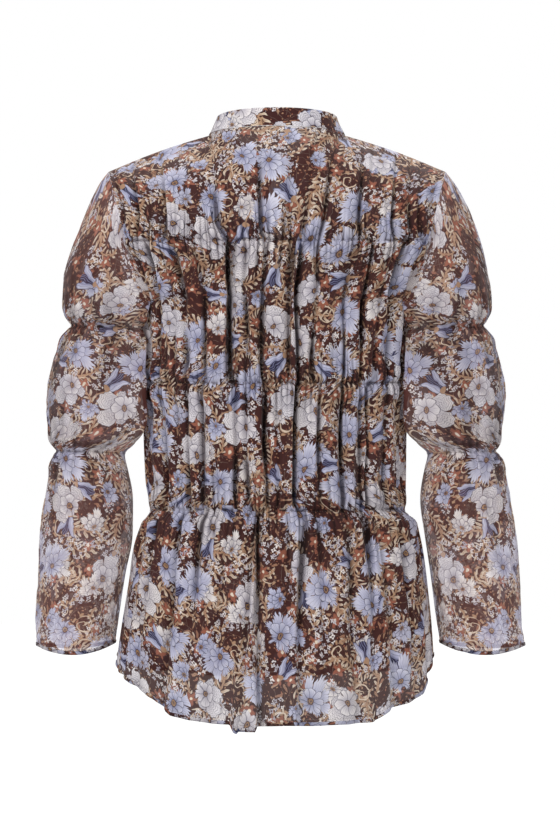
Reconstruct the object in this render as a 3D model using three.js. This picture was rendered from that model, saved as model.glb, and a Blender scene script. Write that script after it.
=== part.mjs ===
// A woman's loose blouse in sheer printed georgette, standing as it does when it is worn, but empty.
// Units are millimetres, +Z is up, +X is the wearer's right and +Y is the wearer's front, so the back faces -Y.
// The origin is in the middle of the neck, at the height where the garment sits on the shoulders.
// The cut: a back and a front, each one piece from shoulder to hem, two long sleeves and a stand collar.
// Lines of elastic thread draw the body in at three levels and each sleeve at two.
import * as THREE from "three";

const CLOTH = 1.2; // wall thickness of the cloth
const SEAM_GAP = 0.35; // air between two pieces at a seam
const HALF_CLOTH = CLOTH / 2;
const HALF_GAP = SEAM_GAP / 2;
const QUARTER = Math.PI / 2;

const SHOULDER = { x: 185, z: -24 }; // end of the shoulder seam
const ARMPIT = { x: 150, z: -165 }; // top of the side seam
const ARMHOLE_BACK = 58; // how far the armhole reaches behind the side seam
const ARMHOLE_FRONT = 53; // and in front of it
const NECK = { half: 74, back: 60, front: 58, side: 16, backRise: 10, frontDrop: 46 };
const COLLAR = { tall: 20, lean: 9 };

// The three elastic lines of the body, and the end of the slit below the front of the neck.
const CHEST_LINE = -99;
const WAIST_LINE = -256;
const HIP_LINE = -396;
const SLIT_END = -136;
const SLIT_HALF_ANGLE = 0.0115;

// Body sections: reach to the left, right, back and front at each level.
const BODY = [
  { z: -99, left: 166, right: 166, back: 106, front: 116 },
  { z: -165, left: 150, right: 150, back: 107, front: 120 },
  { z: -215, left: 149.6, right: 146.3, back: 104, front: 117 },
  { z: -256, left: 147.4, right: 143, back: 98, front: 109 },
  { z: -308, left: 146.9, right: 142.5, back: 98, front: 108 },
  { z: -363, left: 144.7, right: 141.9, back: 95, front: 103 },
  { z: -396, left: 139.7, right: 140.8, back: 90, front: 97 },
  { z: -412, left: 149.6, right: 153.5, back: 96, front: 102 },
  { z: -440, left: 158.4, right: 160.6, back: 104, front: 110 },
  { z: -473, left: 162.8, right: 165, back: 111, front: 116 },
  { z: -542, left: 173.8, right: 171.6, back: 121, front: 124 },
  { z: -600, left: 181, right: 174, back: 127, front: 128 },
];

const SECTION_ROUNDNESS = 0.85; // 1 is an ellipse, less is squarer

// Fold valleys of the back. An angle of 0 is the centre back and 1 or -1 a side seam. Each valley drifts
// between the chest line, the two tiers below it and the hem. Depths are at the tiers and at the hem.
const BACK_FOLDS = [
  { chest: -0.93, tier: -0.93, hem: -0.93, deep: 3, hemDeep: 3 },
  { chest: -0.83, tier: -0.83, hem: -0.84, deep: 6, hemDeep: 7 },
  { chest: -0.7, tier: -0.71, hem: -0.69, deep: 9, hemDeep: 6 },
  { chest: -0.53, tier: -0.51, hem: -0.52, deep: 10, hemDeep: 12 },
  { chest: -0.38, tier: -0.36, hem: -0.4, deep: 9, hemDeep: 4 },
  { chest: -0.2, tier: -0.22, hem: -0.28, deep: 11, hemDeep: 9 },
  { chest: -0.11, tier: -0.13, hem: -0.17, deep: 7, hemDeep: 11 },
  { chest: -0.03, tier: -0.05, hem: -0.06, deep: 10, hemDeep: 15 },
  { chest: 0.05, tier: 0.03, hem: 0.03, deep: 6, hemDeep: 4 },
  { chest: 0.12, tier: 0.12, hem: 0.11, deep: 10, hemDeep: 10 },
  { chest: 0.2, tier: 0.21, hem: 0.22, deep: 7, hemDeep: 5 },
  { chest: 0.34, tier: 0.32, hem: 0.33, deep: 11, hemDeep: 12 },
  { chest: 0.42, tier: 0.42, hem: 0.43, deep: 8, hemDeep: 5 },
  { chest: 0.56, tier: 0.54, hem: 0.56, deep: 10, hemDeep: 11 },
  { chest: 0.7, tier: 0.69, hem: 0.7, deep: 8, hemDeep: 6 },
  { chest: 0.83, tier: 0.82, hem: 0.83, deep: 6, hemDeep: 8 },
  { chest: 0.93, tier: 0.93, hem: 0.93, deep: 3, hemDeep: 3 },
];

// The front's folds are evenly spread on both sides of the slit, deep and shallow by turns.
const FRONT_FOLD_ANGLES = [0.08, 0.2, 0.33, 0.47, 0.62, 0.78, 0.91];
const FRONT_FOLDS = [
  ...FRONT_FOLD_ANGLES.map((angle, i) => frontFold(-angle, i)).reverse(),
  ...FRONT_FOLD_ANGLES.map((angle, i) => frontFold(angle, i)),
];

// How deep the folds are at each level of the body, as a share of the depths above. Each elastic line pinches.
const FOLD_SHARE = [
  { z: 0, share: 0.12 },
  { z: -40, share: 0.4 },
  { z: -85, share: 0.75 },
  { z: -99, share: 0.4 },
  { z: -112, share: 0.85 },
  { z: -150, share: 1 },
  { z: -235, share: 0.95 },
  { z: -256, share: 0.6 },
  { z: -275, share: 0.95 },
  { z: -330, share: 1 },
  { z: -380, share: 0.9 },
  { z: -396, share: 0.4 },
  { z: -415, share: 0.8 },
  { z: -480, share: 1 },
  { z: -640, share: 1.1 },
];

// Hems: the back falls in a shirt tail, the front is shorter and flatter.
const BACK_HEM = [
  { angle: -1, z: -567 },
  { angle: -0.85, z: -573 },
  { angle: -0.6, z: -607 },
  { angle: -0.42, z: -628 },
  { angle: -0.28, z: -632 },
  { angle: -0.17, z: -636 },
  { angle: -0.11, z: -640 },
  { angle: -0.06, z: -634 },
  { angle: 0.1, z: -633 },
  { angle: 0.45, z: -630 },
  { angle: 0.6, z: -618 },
  { angle: 0.85, z: -600 },
  { angle: 1, z: -580 },
];
const FRONT_HEM = [
  { angle: -1, z: -556 },
  { angle: -0.6, z: -571 },
  { angle: 0, z: -583 },
  { angle: 0.6, z: -571 },
  { angle: 1, z: -556 },
];

// Where a fold that leaves the chest line meets the top edge: 0 is the centre of the neck, 1 the end of the
// collar seam at the shoulder, and 2 the end of the shoulder seam.
const FAN = [
  { angle: 0, top: 0 },
  { angle: 0.11, top: 0.45 },
  { angle: 0.2, top: 1 },
  { angle: 0.36, top: 1.22 },
  { angle: 0.5, top: 1.45 },
  { angle: 0.7, top: 1.7 },
  { angle: 1, top: 2 },
];
const NECK_CORNER = 0.2; // the angle of the fold that runs up to where neck and shoulder meet

// Sleeve sections from the armhole to the hem. Each ring crosses from an outer point (out, zOut) to an inner
// point (in, zIn) beside the body, is twice "deep" from front to back, and sits "ahead" of the side seam.
// Gather is the height of the small waves that the elastic makes.
const SLEEVE = [
  { zOut: -24, outL: 185, outR: 185, zIn: -165, inL: 150, inR: 150, deep: 55, ahead: -2.5, gather: 0 },
  { zOut: -34, outL: 191.5, outR: 191.5, zIn: -168, inL: 152.2, inR: 152.2, deep: 59, ahead: -2, gather: 0.8 },
  { zOut: -55, outL: 203.5, outR: 205.5, zIn: -171.5, inL: 151.5, inR: 151, deep: 61, ahead: -1, gather: 1.2 },
  { zOut: -82, outL: 216.5, outR: 218, zIn: -175, inL: 151, inR: 150.5, deep: 62, ahead: 0, gather: 1.2 },
  { zOut: -110, outL: 227.5, outR: 227.5, zIn: -179, inL: 151, inR: 150, deep: 62, ahead: 1, gather: 1.4 },
  { zOut: -139, outL: 236.5, outR: 234, zIn: -183, inL: 151, inR: 149.5, deep: 61, ahead: 2, gather: 2 },
  { zOut: -160, outL: 237.6, outR: 236.5, zIn: -187, inL: 151, inR: 149, deep: 57, ahead: 3, gather: 3 },
  { zOut: -179, outL: 233.8, outR: 233, zIn: -192, inL: 151.5, inR: 149.5, deep: 49, ahead: 4, gather: 4 },
  { zOut: -193, outL: 227.5, outR: 228.5, zIn: -198, inL: 153.5, inR: 152, deep: 42, ahead: 5, gather: 2.6 },
  { zOut: -208, outL: 236.5, outR: 237, zIn: -210, inL: 151, inR: 149, deep: 48, ahead: 6, gather: 4.2 },
  { zOut: -233, outL: 247.5, outR: 245.5, zIn: -233, inL: 149, inR: 146, deep: 54, ahead: 7, gather: 3.2 },
  { zOut: -269, outL: 254.7, outR: 252, zIn: -269, inL: 148, inR: 144, deep: 57, ahead: 9, gather: 2.4 },
  { zOut: -300, outL: 253.6, outR: 249.7, zIn: -302, inL: 149.5, inR: 146, deep: 54, ahead: 11, gather: 3.2 },
  { zOut: -320, outL: 248.2, outR: 244.5, zIn: -323, inL: 156, inR: 154, deep: 47, ahead: 12, gather: 4.2 },
  { zOut: -331, outL: 244.8, outR: 242, zIn: -334, inL: 167.8, inR: 166, deep: 41, ahead: 13, gather: 2.6 },
  { zOut: -350, outL: 250, outR: 249.7, zIn: -352, inL: 164, inR: 162, deep: 46, ahead: 14, gather: 4.4 },
  { zOut: -383, outL: 256.3, outR: 257.4, zIn: -384, inL: 158.4, inR: 157.4, deep: 52, ahead: 16, gather: 3.6 },
  { zOut: -423, outL: 260.7, outR: 262.9, zIn: -423, inL: 158.8, inR: 162.5, deep: 56, ahead: 18, gather: 3 },
  { zOut: -467, outL: 263.5, outR: 266.8, zIn: -467, inL: 167, inR: 169, deep: 58, ahead: 20, gather: 3.2 },
  { zOut: -512, outL: 265.7, outR: 269.6, zIn: -510, inL: 173.5, inR: 174.5, deep: 59, ahead: 22, gather: 3.6 },
  { zOut: -545, outL: 265, outR: 272.3, zIn: -542, inL: 178, inR: 179.5, deep: 58, ahead: 24, gather: 4 },
];
const SLEEVE_CLEAR = 2.4; // from the middle of the body's cloth to the middle of the sleeve's
const SLEEVE_TUCK = { from: -195, full: -230, last: -305, end: -330, turn: 2.45, width: 0.75, deep: 16 };
const SLEEVE_WAVES = 12;
const SLEEVE_STEPS_PER_WAVE = 3;
const SLEEVE_HEM_SAG = { back: 11, front: 5 };

const FOLD_STEPS = [0, 0.25, 0.5, 0.75]; // columns within one fold, from a valley to the next
const FOLD_SHARPNESS = 1.5;

const cloth = new THREE.MeshStandardMaterial({
  color: new THREE.Color(0.34, 0.25, 0.24),
  roughness: 0.85,
  metalness: 0,
  side: THREE.DoubleSide,
});

function frontFold(angle, i) {
  const deep = i % 2 ? 9 : 6;
  return { chest: angle, tier: angle, hem: angle * 1.01, deep, hemDeep: deep + 2 };
}

// A smooth step between the rows of a table, in column "by", for the column "name".
function lookUp(table, by, at, name) {
  const sign = table[table.length - 1][by] > table[0][by] ? 1 : -1;
  let i = 1;
  while (i < table.length - 1 && (at - table[i][by]) * sign > 0) i++;
  const low = table[i - 1];
  const high = table[i];
  const t = THREE.MathUtils.clamp((at - low[by]) / (high[by] - low[by]), 0, 1);
  return low[name] + (high[name] - low[name]) * t;
}

// The armhole lies in a plane. Turn 0 is the shoulder and PI the armpit; facing is -1 behind and 1 in front.
function armhole(side, facing, turn) {
  const middle = (SHOULDER.z + ARMPIT.z) / 2;
  const z = middle + ((SHOULDER.z - ARMPIT.z) / 2) * Math.cos(turn);
  const reach = facing < 0 ? ARMHOLE_BACK : ARMHOLE_FRONT;
  return new THREE.Vector3(side * armholeX(z), facing * reach * Math.sin(turn), z);
}

function armholeX(z) {
  return THREE.MathUtils.mapLinear(z, ARMPIT.z, SHOULDER.z, ARMPIT.x, SHOULDER.x);
}

function armholeTurn(z) {
  const middle = (SHOULDER.z + ARMPIT.z) / 2;
  return Math.acos(THREE.MathUtils.clamp((z - middle) / ((SHOULDER.z - ARMPIT.z) / 2), -1, 1));
}

function armholeNormal(side) {
  return new THREE.Vector3(side * (SHOULDER.z - ARMPIT.z), 0, ARMPIT.x - SHOULDER.x).normalize();
}

// The neck edge: turn 0 is the centre back, QUARTER the shoulder and PI the centre front.
function neckPoint(side, turn) {
  const away = Math.cos(turn);
  const y = away > 0 ? -NECK.back * away : -NECK.front * away;
  const z = away > 0 ? NECK.side + NECK.backRise * away : NECK.side - NECK.frontDrop * away ** 2;
  return new THREE.Vector3(side * NECK.half * Math.sin(turn), y, z);
}

// The outward direction that both the panels and the collar use at the neck edge.
function neckNormal(side, turn) {
  return new THREE.Vector3(side * Math.sin(turn), -Math.cos(turn), 0.75).normalize();
}

// The top edge of a panel, from the centre of the neck (0) along the collar seam (1) to the shoulder's end (2).
function topPoint(side, facing, at) {
  if (at <= 1) return neckPoint(side, facing < 0 ? at * QUARTER : Math.PI - at * QUARTER);
  const z = THREE.MathUtils.mapLinear(at, 1, 2, NECK.side, SHOULDER.z) + 7 * Math.sin((at - 1) * Math.PI);
  return new THREE.Vector3(side * THREE.MathUtils.mapLinear(at, 1, 2, NECK.half, SHOULDER.x), 0, z);
}

// A point of the body's smooth form at a level, angle -1 to 1 across the panel.
function sectionPoint(facing, angle, z) {
  const half = angle < 0 ? lookUp(BODY, "z", z, "left") : lookUp(BODY, "z", z, "right");
  const open = z > ARMPIT.z;
  const reach = open ? armholeX(z) : half;
  const edge = open ? (facing < 0 ? ARMHOLE_BACK : ARMHOLE_FRONT) * Math.sin(armholeTurn(z)) : 0;
  const deep = lookUp(BODY, "z", z, facing < 0 ? "back" : "front");
  const round = Math.abs(Math.cos(angle * QUARTER)) ** SECTION_ROUNDNESS;
  return new THREE.Vector3(reach * Math.sin(angle * QUARTER), facing * (edge + (deep - edge) * round), z);
}

// How steeply the cloth leaves the top edge: least along the shoulder, most below the centre of the neck.
function rollSlope(facing, at) {
  const { shoulder, neck } = facing < 0 ? { shoulder: 0.25, neck: 0.8 } : { shoulder: 0.45, neck: 0.3 };
  return shoulder + neck * Math.max(1 - at, 0) ** 2;
}

// Above the chest line the cloth rises straight, then rolls over to the shoulder and the neck.
function yokePoint(facing, angle, rise) {
  const side = Math.sign(angle) || 1;
  const low = sectionPoint(facing, angle, CHEST_LINE);
  const at = lookUp(FAN, "angle", Math.abs(angle), "top");
  const top = topPoint(side, facing, at);
  const slope = rollSlope(facing, at);
  const roll = new THREE.Vector3(
    low.x * 0.4 + top.x * 0.6,
    low.y,
    Math.max(top.z - slope * Math.abs(top.y - low.y), CHEST_LINE + 12),
  );
  const point = new THREE.QuadraticBezierCurve3(low, roll, top).getPoint(rise);
  const turn = armholeTurn(CHEST_LINE) * (1 - rise);
  const edgeLow = armhole(side, facing, armholeTurn(CHEST_LINE));
  const edgeTop = armhole(side, facing, 0);
  const edgeRoll = new THREE.Vector3(
    edgeLow.x * 0.4 + edgeTop.x * 0.6,
    edgeLow.y,
    edgeTop.z - rollSlope(facing, 2) * Math.abs(edgeLow.y),
  );
  const edge = new THREE.QuadraticBezierCurve3(edgeLow, edgeRoll, edgeTop).getPoint(rise);
  const near = THREE.MathUtils.smoothstep(Math.abs(angle), 0.7, 1);
  return point.addScaledVector(armhole(side, facing, turn).sub(edge), near);
}

// The columns of a panel: each fold gives a valley and the steps up to the next. A column has its own angle
// at the chest line, the tiers and the hem, and its depth at the tiers and the hem.
function columnsOf(folds) {
  const end = (angle) => ({ chest: angle, tier: angle, hem: angle, deep: 0, hemDeep: 0 });
  const marks = [end(-1), ...folds, end(1)];
  const columns = [];
  for (let i = 0; i < marks.length - 1; i++) {
    for (const step of FOLD_STEPS) {
      const valley = Math.abs(Math.cos(step * Math.PI)) ** FOLD_SHARPNESS;
      const nearest = step < 0.5 ? marks[i] : marks[i + 1];
      const mix = (name) => THREE.MathUtils.lerp(marks[i][name], marks[i + 1][name], step);
      columns.push({
        chest: mix("chest"),
        tier: mix("tier"),
        hem: mix("hem"),
        deep: nearest.deep * valley,
        hemDeep: nearest.hemDeep * valley,
      });
    }
  }
  columns.push(end(1));
  return columns;
}

// The rows of a panel, from the top edge down. A yoke row has a rise, a level row a z, a peplum row a fall.
const YOKE_ROWS = [1, 0.84, 0.62, 0.38, 0.14].map((rise) => ({ rise }));
const TIER_ROWS = [CHEST_LINE, -112, SLIT_END, -165, -200, -240, WAIST_LINE, -272, -320, -378, HIP_LINE, -408];
const YOKE_EASING = 10; // passes
const PEPLUM_ROWS = [0.2, 0.45, 0.72, 1].map((fall) => ({ fall }));
const ROWS = [...YOKE_ROWS, ...TIER_ROWS.map((z) => ({ z })), ...PEPLUM_ROWS];

function panelPoint(facing, column, row, hem) {
  const lowest = TIER_ROWS[TIER_ROWS.length - 1];
  if (row.rise !== undefined) return yokePoint(facing, column.chest, row.rise);
  const z = row.z ?? THREE.MathUtils.lerp(lowest, lookUp(hem, "angle", column.hem, "z"), row.fall);
  const toTier = THREE.MathUtils.smoothstep(CHEST_LINE - z, 0, 60);
  const toHem = row.fall ?? 0;
  const upper = THREE.MathUtils.lerp(column.chest, column.tier, toTier);
  return sectionPoint(facing, THREE.MathUtils.lerp(upper, column.hem, toHem), z);
}

// The unit normal of a grid of points at one place, by differences to its neighbours.
function gridNormal(grid, r, c, closed) {
  const count = grid[r].length;
  const next = closed ? (c + 1) % count : Math.min(c + 1, count - 1);
  const last = closed ? (c + count - 1) % count : Math.max(c - 1, 0);
  const across = grid[r][next].clone().sub(grid[r][last]);
  const down = grid[Math.min(r + 1, grid.length - 1)][c].clone().sub(grid[Math.max(r - 1, 0)][c]);
  return down.cross(across).normalize();
}

function removePart(vector, direction) {
  return vector.addScaledVector(direction, -vector.dot(direction)).normalize();
}

// A closed wall from a grid of mid-cloth points and the direction of its thickness at each. A cell that
// "open" names is left out, and every free edge gets a narrow face of its own. A "turned" grid runs the
// other way round the garment.
function wall(grid, thick, { closed = false, turned = false, open = () => false }) {
  const rows = grid.length;
  const columns = grid[0].length;
  const positions = [];
  const index = [];
  for (const side of [HALF_CLOTH, -HALF_CLOTH]) {
    for (let r = 0; r < rows; r++) {
      for (let c = 0; c < columns; c++) {
        positions.push(...grid[r][c].clone().addScaledVector(thick[r][c], side).toArray());
      }
    }
  }
  const at = (r, c) => r * columns + (c % columns);
  const inside = rows * columns;
  const lastColumn = closed ? columns : columns - 1;
  const there = (r, c) => {
    if (r < 0 || r >= rows - 1 || (!closed && (c < 0 || c >= lastColumn))) return false;
    return !open(r, (c + lastColumn) % lastColumn);
  };
  const edge = (a, b) => index.push(a, a + inside, b, b, a + inside, b + inside);
  for (let r = 0; r < rows - 1; r++) {
    for (let c = 0; c < lastColumn; c++) {
      if (!there(r, c)) continue;
      const [a, b, d, e] = [at(r, c), at(r, c + 1), at(r + 1, c), at(r + 1, c + 1)];
      index.push(a, d, b, b, d, e);
      index.push(a + inside, b + inside, d + inside, b + inside, e + inside, d + inside);
      if (!there(r - 1, c)) edge(b, a);
      if (!there(r + 1, c)) edge(d, e);
      if (!there(r, c - 1)) edge(a, d);
      if (!there(r, c + 1)) edge(e, b);
    }
  }
  const geometry = new THREE.BufferGeometry();
  geometry.setAttribute("position", new THREE.Float32BufferAttribute(positions, 3));
  geometry.setIndex(turned ? index.reverse() : index);
  geometry.computeVertexNormals();
  return geometry;
}

// The yoke is eased across, so that no crease runs down from where neck and shoulder meet.
function easeYoke(grid) {
  for (let pass = 0; pass < YOKE_EASING; pass++) {
    for (let r = 1; r < YOKE_ROWS.length; r++) {
      const line = grid[r].map((point) => point.clone());
      for (let c = 1; c < line.length - 1; c++) {
        grid[r][c].add(line[c - 1]).add(line[c]).add(line[c + 1]).divideScalar(4);
      }
    }
  }
  return grid;
}

// Front or back. The folds sink from the smooth form, and the side, shoulder and armhole edges lie flat.
// Below the yoke they sink level, so that the hem keeps its line.
function panel(facing, columns, hem) {
  const smooth = easeYoke(ROWS.map((row) => columns.map((column) => panelPoint(facing, column, row, hem))));
  const folded = smooth.map((line, r) =>
    line.map((point, c) => {
      if (r === 0) return point.clone();
      const toHem = ROWS[r].fall ?? 0;
      const depth = THREE.MathUtils.lerp(columns[c].deep, columns[c].hemDeep, toHem);
      const share = lookUp(FOLD_SHARE, "z", point.z, "share");
      const outward = gridNormal(smooth, r, c, false).multiplyScalar(facing < 0 ? 1 : -1);
      if (ROWS[r].rise === undefined) outward.setZ(0).normalize();
      return point.clone().addScaledVector(outward, -depth * share);
    }),
  );
  const seam = new THREE.Vector3(0, 1, 0);
  const last = columns.length - 1;
  const thick = folded.map((line, r) =>
    line.map((point, c) => {
      const outward = gridNormal(folded, r, c, false).multiplyScalar(facing < 0 ? 1 : -1);
      const side = point.x < 0 ? -1 : 1;
      const atEdge = c === 0 || c === last;
      if (r === 0) {
        const at = lookUp(FAN, "angle", Math.abs(columns[c].chest), "top");
        if (at < 1 + 1e-6) {
          const turn = facing < 0 ? at * QUARTER : Math.PI - at * QUARTER;
          return neckNormal(side, turn);
        }
        if (atEdge) return new THREE.Vector3(0, 0, 1).projectOnPlane(armholeNormal(side)).normalize();
        return removePart(outward, seam);
      }
      if (!atEdge) return outward;
      const open = point.z > ARMPIT.z + 1;
      if (!open) return removePart(outward, seam);
      const lean = THREE.MathUtils.smoothstep(point.z, ARMPIT.z, ARMPIT.z + 50);
      const flat = removePart(outward.clone(), armholeNormal(side));
      return outward.multiplyScalar(1 - lean).addScaledVector(flat, lean).normalize();
    }),
  );
  folded.forEach((line, r) =>
    line.forEach((point, c) => {
      const onShoulder = r === 0 && Math.abs(columns[c].chest) >= NECK_CORNER - 1e-6;
      const onSide = (c === 0 || c === last) && point.z <= ARMPIT.z + 1;
      if (onShoulder || onSide) point.y = facing * HALF_GAP;
    }),
  );
  const open = facing > 0 ? (r, c) => isSlit(columns, r, c) : undefined;
  return wall(folded, thick, { turned: facing > 0, open });
}

// Two columns either side of the centre front bound the slit, in place of the ridge there.
function withSlit(columns) {
  const centre = columns.findIndex((column) => Math.abs(column.chest) < 1e-9);
  const bound = (side) => {
    const angle = side * SLIT_HALF_ANGLE;
    return { ...columns[centre], chest: angle, tier: angle, hem: angle };
  };
  return [...columns.slice(0, centre), bound(-1), bound(1), ...columns.slice(centre + 1)];
}

function isSlit(columns, r, c) {
  const row = ROWS[r + 1];
  const above = row.rise !== undefined || row.z >= SLIT_END;
  return above && columns[c].chest === -SLIT_HALF_ANGLE;
}

// A sleeve is a tube from the armhole to its own hem, with waves that stand out from its smooth rings.
function sleeve(side) {
  const steps = SLEEVE_WAVES * SLEEVE_STEPS_PER_WAVE;
  const hemRow = SLEEVE.length - 1;
  const rings = SLEEVE.map((section, r) =>
    Array.from({ length: steps }, (_, i) => {
      const turn = (i / steps) * Math.PI * 2;
      if (r === 0) return sleeveHead(side, turn);
      const out = side < 0 ? section.outL : section.outR;
      const inner = side < 0 ? section.inL : section.inR;
      const across = (Math.cos(turn) + 1) / 2;
      const behind = Math.sin(turn);
      const y = section.ahead - section.deep * behind;
      const tucked = THREE.MathUtils.lerp(inner, out, across) - tuck(section.zIn, turn);
      const sag = r === hemRow ? (behind > 0 ? SLEEVE_HEM_SAG.back : SLEEVE_HEM_SAG.front) * behind ** 2 : 0;
      const z = THREE.MathUtils.lerp(section.zIn, section.zOut, across) - sag;
      return new THREE.Vector3(side * Math.max(tucked, bodySide(side, y, z) + SLEEVE_CLEAR), y, z);
    }),
  );
  const waved = rings.map((ring, r) =>
    ring.map((point, i) => {
      const turn = (i / steps) * Math.PI * 2;
      const free = THREE.MathUtils.smoothstep(Math.cos(turn), -1, -0.55);
      const valley = i % SLEEVE_STEPS_PER_WAVE === 0 ? -1 : 0;
      const outward = gridNormal(rings, r, i, true).multiplyScalar(-side);
      return point.clone().addScaledVector(outward, valley * free * SLEEVE[r].gather);
    }),
  );
  const thick = waved.map((ring, r) =>
    ring.map((point, i) => {
      const outward = gridNormal(waved, r, i, true).multiplyScalar(-side);
      return r === 0 ? removePart(outward, armholeNormal(side)) : outward;
    }),
  );
  return wall(waved, thick, { closed: true, turned: side > 0 });
}

// Beside the body's middle the inner side of the sleeve tucks in a little behind it.
function tuck(z, turn) {
  const { from, full, last, end, width, deep } = SLEEVE_TUCK;
  const level = THREE.MathUtils.smoothstep(-z, -from, -full) * (1 - THREE.MathUtils.smoothstep(-z, -last, -end));
  const near = Math.max(1 - Math.abs(turn - SLEEVE_TUCK.turn) / width, 0);
  return deep * level * THREE.MathUtils.smoothstep(near, 0, 1);
}

// How far the body reaches sideways at a depth and level below the armpit.
function bodySide(side, y, z) {
  if (z > ARMPIT.z) return 0;
  const deep = lookUp(BODY, "z", z, y < 0 ? "back" : "front");
  const cosine = Math.min(Math.abs(y) / deep, 1) ** (1 / SECTION_ROUNDNESS);
  return lookUp(BODY, "z", z, side < 0 ? "left" : "right") * Math.sqrt(1 - cosine ** 2);
}

// The sleeve's first ring follows the armhole, one gap outside the body's cloth.
function sleeveHead(side, turn) {
  const behind = turn <= Math.PI;
  const down = behind ? turn : Math.PI * 2 - turn;
  const point = armhole(side, behind ? -1 : 1, down);
  const clear = SEAM_GAP + HALF_CLOTH * THREE.MathUtils.smoothstep(down, QUARTER * 0.9, QUARTER * 1.6);
  return point.addScaledVector(armholeNormal(side), clear);
}

// The stand collar rises from the neck edge and leans inwards. Its ends stop at the slit in the front, and
// its columns are those of the two panels, so that the seam's faces match.
function collar(backColumns, frontColumns) {
  const turnOf = (column, facing) => {
    const at = lookUp(FAN, "angle", Math.abs(column.chest), "top");
    return Math.sign(column.chest) * (facing < 0 ? at : 2 - at) * QUARTER;
  };
  const atNeck = (column) => Math.abs(column.chest) < NECK_CORNER - 1e-6;
  const corners = [-QUARTER, QUARTER];
  const behind = backColumns.filter(atNeck).map((column) => turnOf(column, -1));
  const before = frontColumns.filter(atNeck).map((column) => turnOf(column, 1));
  const turns = [...before, ...corners, ...behind].sort((a, b) => a - b);
  const rises = [1, 0.5, 0];
  const grid = rises.map((rise) =>
    turns.map((turn) => {
      const normal = neckNormal(Math.sign(turn), Math.abs(turn));
      const up = new THREE.Vector3(0, 0, 1).projectOnPlane(normal).normalize();
      const inward = new THREE.Vector3(-normal.x, -normal.y, 0).normalize();
      const lean = COLLAR.lean * rise * (1.25 - 0.25 * rise);
      return neckPoint(Math.sign(turn), Math.abs(turn))
        .addScaledVector(up, SEAM_GAP)
        .addScaledVector(inward, lean)
        .add(new THREE.Vector3(0, 0, COLLAR.tall * rise));
    }),
  );
  const thick = grid.map((points, r) =>
    points.map((_, c) =>
      rises[r] > 0 ? gridNormal(grid, r, c, false) : neckNormal(Math.sign(turns[c]), Math.abs(turns[c])),
    ),
  );
  return wall(grid, thick, {});
}

function piece(name, geometry) {
  const mesh = new THREE.Mesh(geometry, cloth);
  mesh.name = name;
  return mesh;
}

const backColumns = columnsOf(BACK_FOLDS);
const frontColumns = withSlit(columnsOf(FRONT_FOLDS));
const blouse = new THREE.Group();
blouse.add(piece("back", panel(-1, backColumns, BACK_HEM)));
blouse.add(piece("front", panel(1, frontColumns, FRONT_HEM)));
blouse.add(piece("sleeve_left", sleeve(-1)));
blouse.add(piece("sleeve_right", sleeve(1)));
blouse.add(piece("collar", collar(backColumns, frontColumns)));

export default blouse;
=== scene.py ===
"""A woman's loose blouse in sheer printed georgette, worn and empty, seen from behind.

Sizes are in millimetres, and every mesh is made in metres. +X is the wearer's right, the back faces -Y.
"""
import math

import bmesh
import bpy
import numpy as np
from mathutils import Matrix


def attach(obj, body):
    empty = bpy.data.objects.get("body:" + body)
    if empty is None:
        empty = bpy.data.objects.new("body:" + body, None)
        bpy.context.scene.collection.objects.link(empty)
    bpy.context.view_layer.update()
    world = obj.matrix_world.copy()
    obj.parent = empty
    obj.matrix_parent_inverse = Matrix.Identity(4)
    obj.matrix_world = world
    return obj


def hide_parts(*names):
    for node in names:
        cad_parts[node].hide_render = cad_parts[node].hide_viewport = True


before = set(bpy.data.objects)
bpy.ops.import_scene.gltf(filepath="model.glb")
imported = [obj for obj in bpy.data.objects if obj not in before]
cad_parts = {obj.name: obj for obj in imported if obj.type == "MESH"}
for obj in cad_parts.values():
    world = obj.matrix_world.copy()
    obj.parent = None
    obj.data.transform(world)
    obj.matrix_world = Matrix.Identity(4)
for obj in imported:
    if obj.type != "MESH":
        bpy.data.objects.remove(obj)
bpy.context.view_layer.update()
MM = 0.001


# Studio
# A level camera with a long lens looks at the middle of the blouse from behind, as the photograph does. A
# wide white floor meets a white room far off, and large soft lamps leave hardly a shadow.
VIEW_TALL = 924
VIEW_MIDDLE = (3.3, -297)
CAMERA_AWAY = 20000
SENSOR_TALL = 36

camera = bpy.data.objects.new("camera", bpy.data.cameras.new("camera"))
camera.data.sensor_fit = "VERTICAL"
camera.data.sensor_height = SENSOR_TALL
camera.data.lens = SENSOR_TALL * CAMERA_AWAY / VIEW_TALL
camera.location = (VIEW_MIDDLE[0] * MM, -CAMERA_AWAY * MM, VIEW_MIDDLE[1] * MM)
camera.rotation_euler = (math.radians(90), 0, 0)
bpy.context.collection.objects.link(camera)
bpy.context.scene.camera = camera
bpy.context.scene.view_settings.view_transform = "Standard"

FLOOR_LEVEL = -860
FLOOR_HALF = 30000
around = ((-1, -1), (1, -1), (1, 1), (-1, 1))
corners = [(x * FLOOR_HALF * MM, y * FLOOR_HALF * MM, FLOOR_LEVEL * MM) for x, y in around]
floor = bpy.data.objects.new("floor", bpy.data.meshes.new("floor"))
floor.data.from_pydata(corners, [], [(0, 1, 2, 3)])
bpy.context.collection.objects.link(floor)
paper = bpy.data.materials.new("floor_paper")
paper.use_nodes = True
paper_shader = paper.node_tree.nodes["Principled BSDF"]
paper_shader.inputs["Base Color"].default_value = (0.45, 0.45, 0.45, 1)
paper_shader.inputs["Roughness"].default_value = 0.95
paper_shader.inputs["Specular IOR Level"].default_value = 0
paper_shader.inputs["Emission Color"].default_value = (1, 1, 1, 1)
floor.data.materials.append(paper)
world = bpy.data.worlds.new("studio")
world.use_nodes = True
background = world.node_tree.nodes["Background"]
background.inputs["Color"].default_value = (1, 1, 1, 1)
bpy.context.scene.world = world


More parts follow.
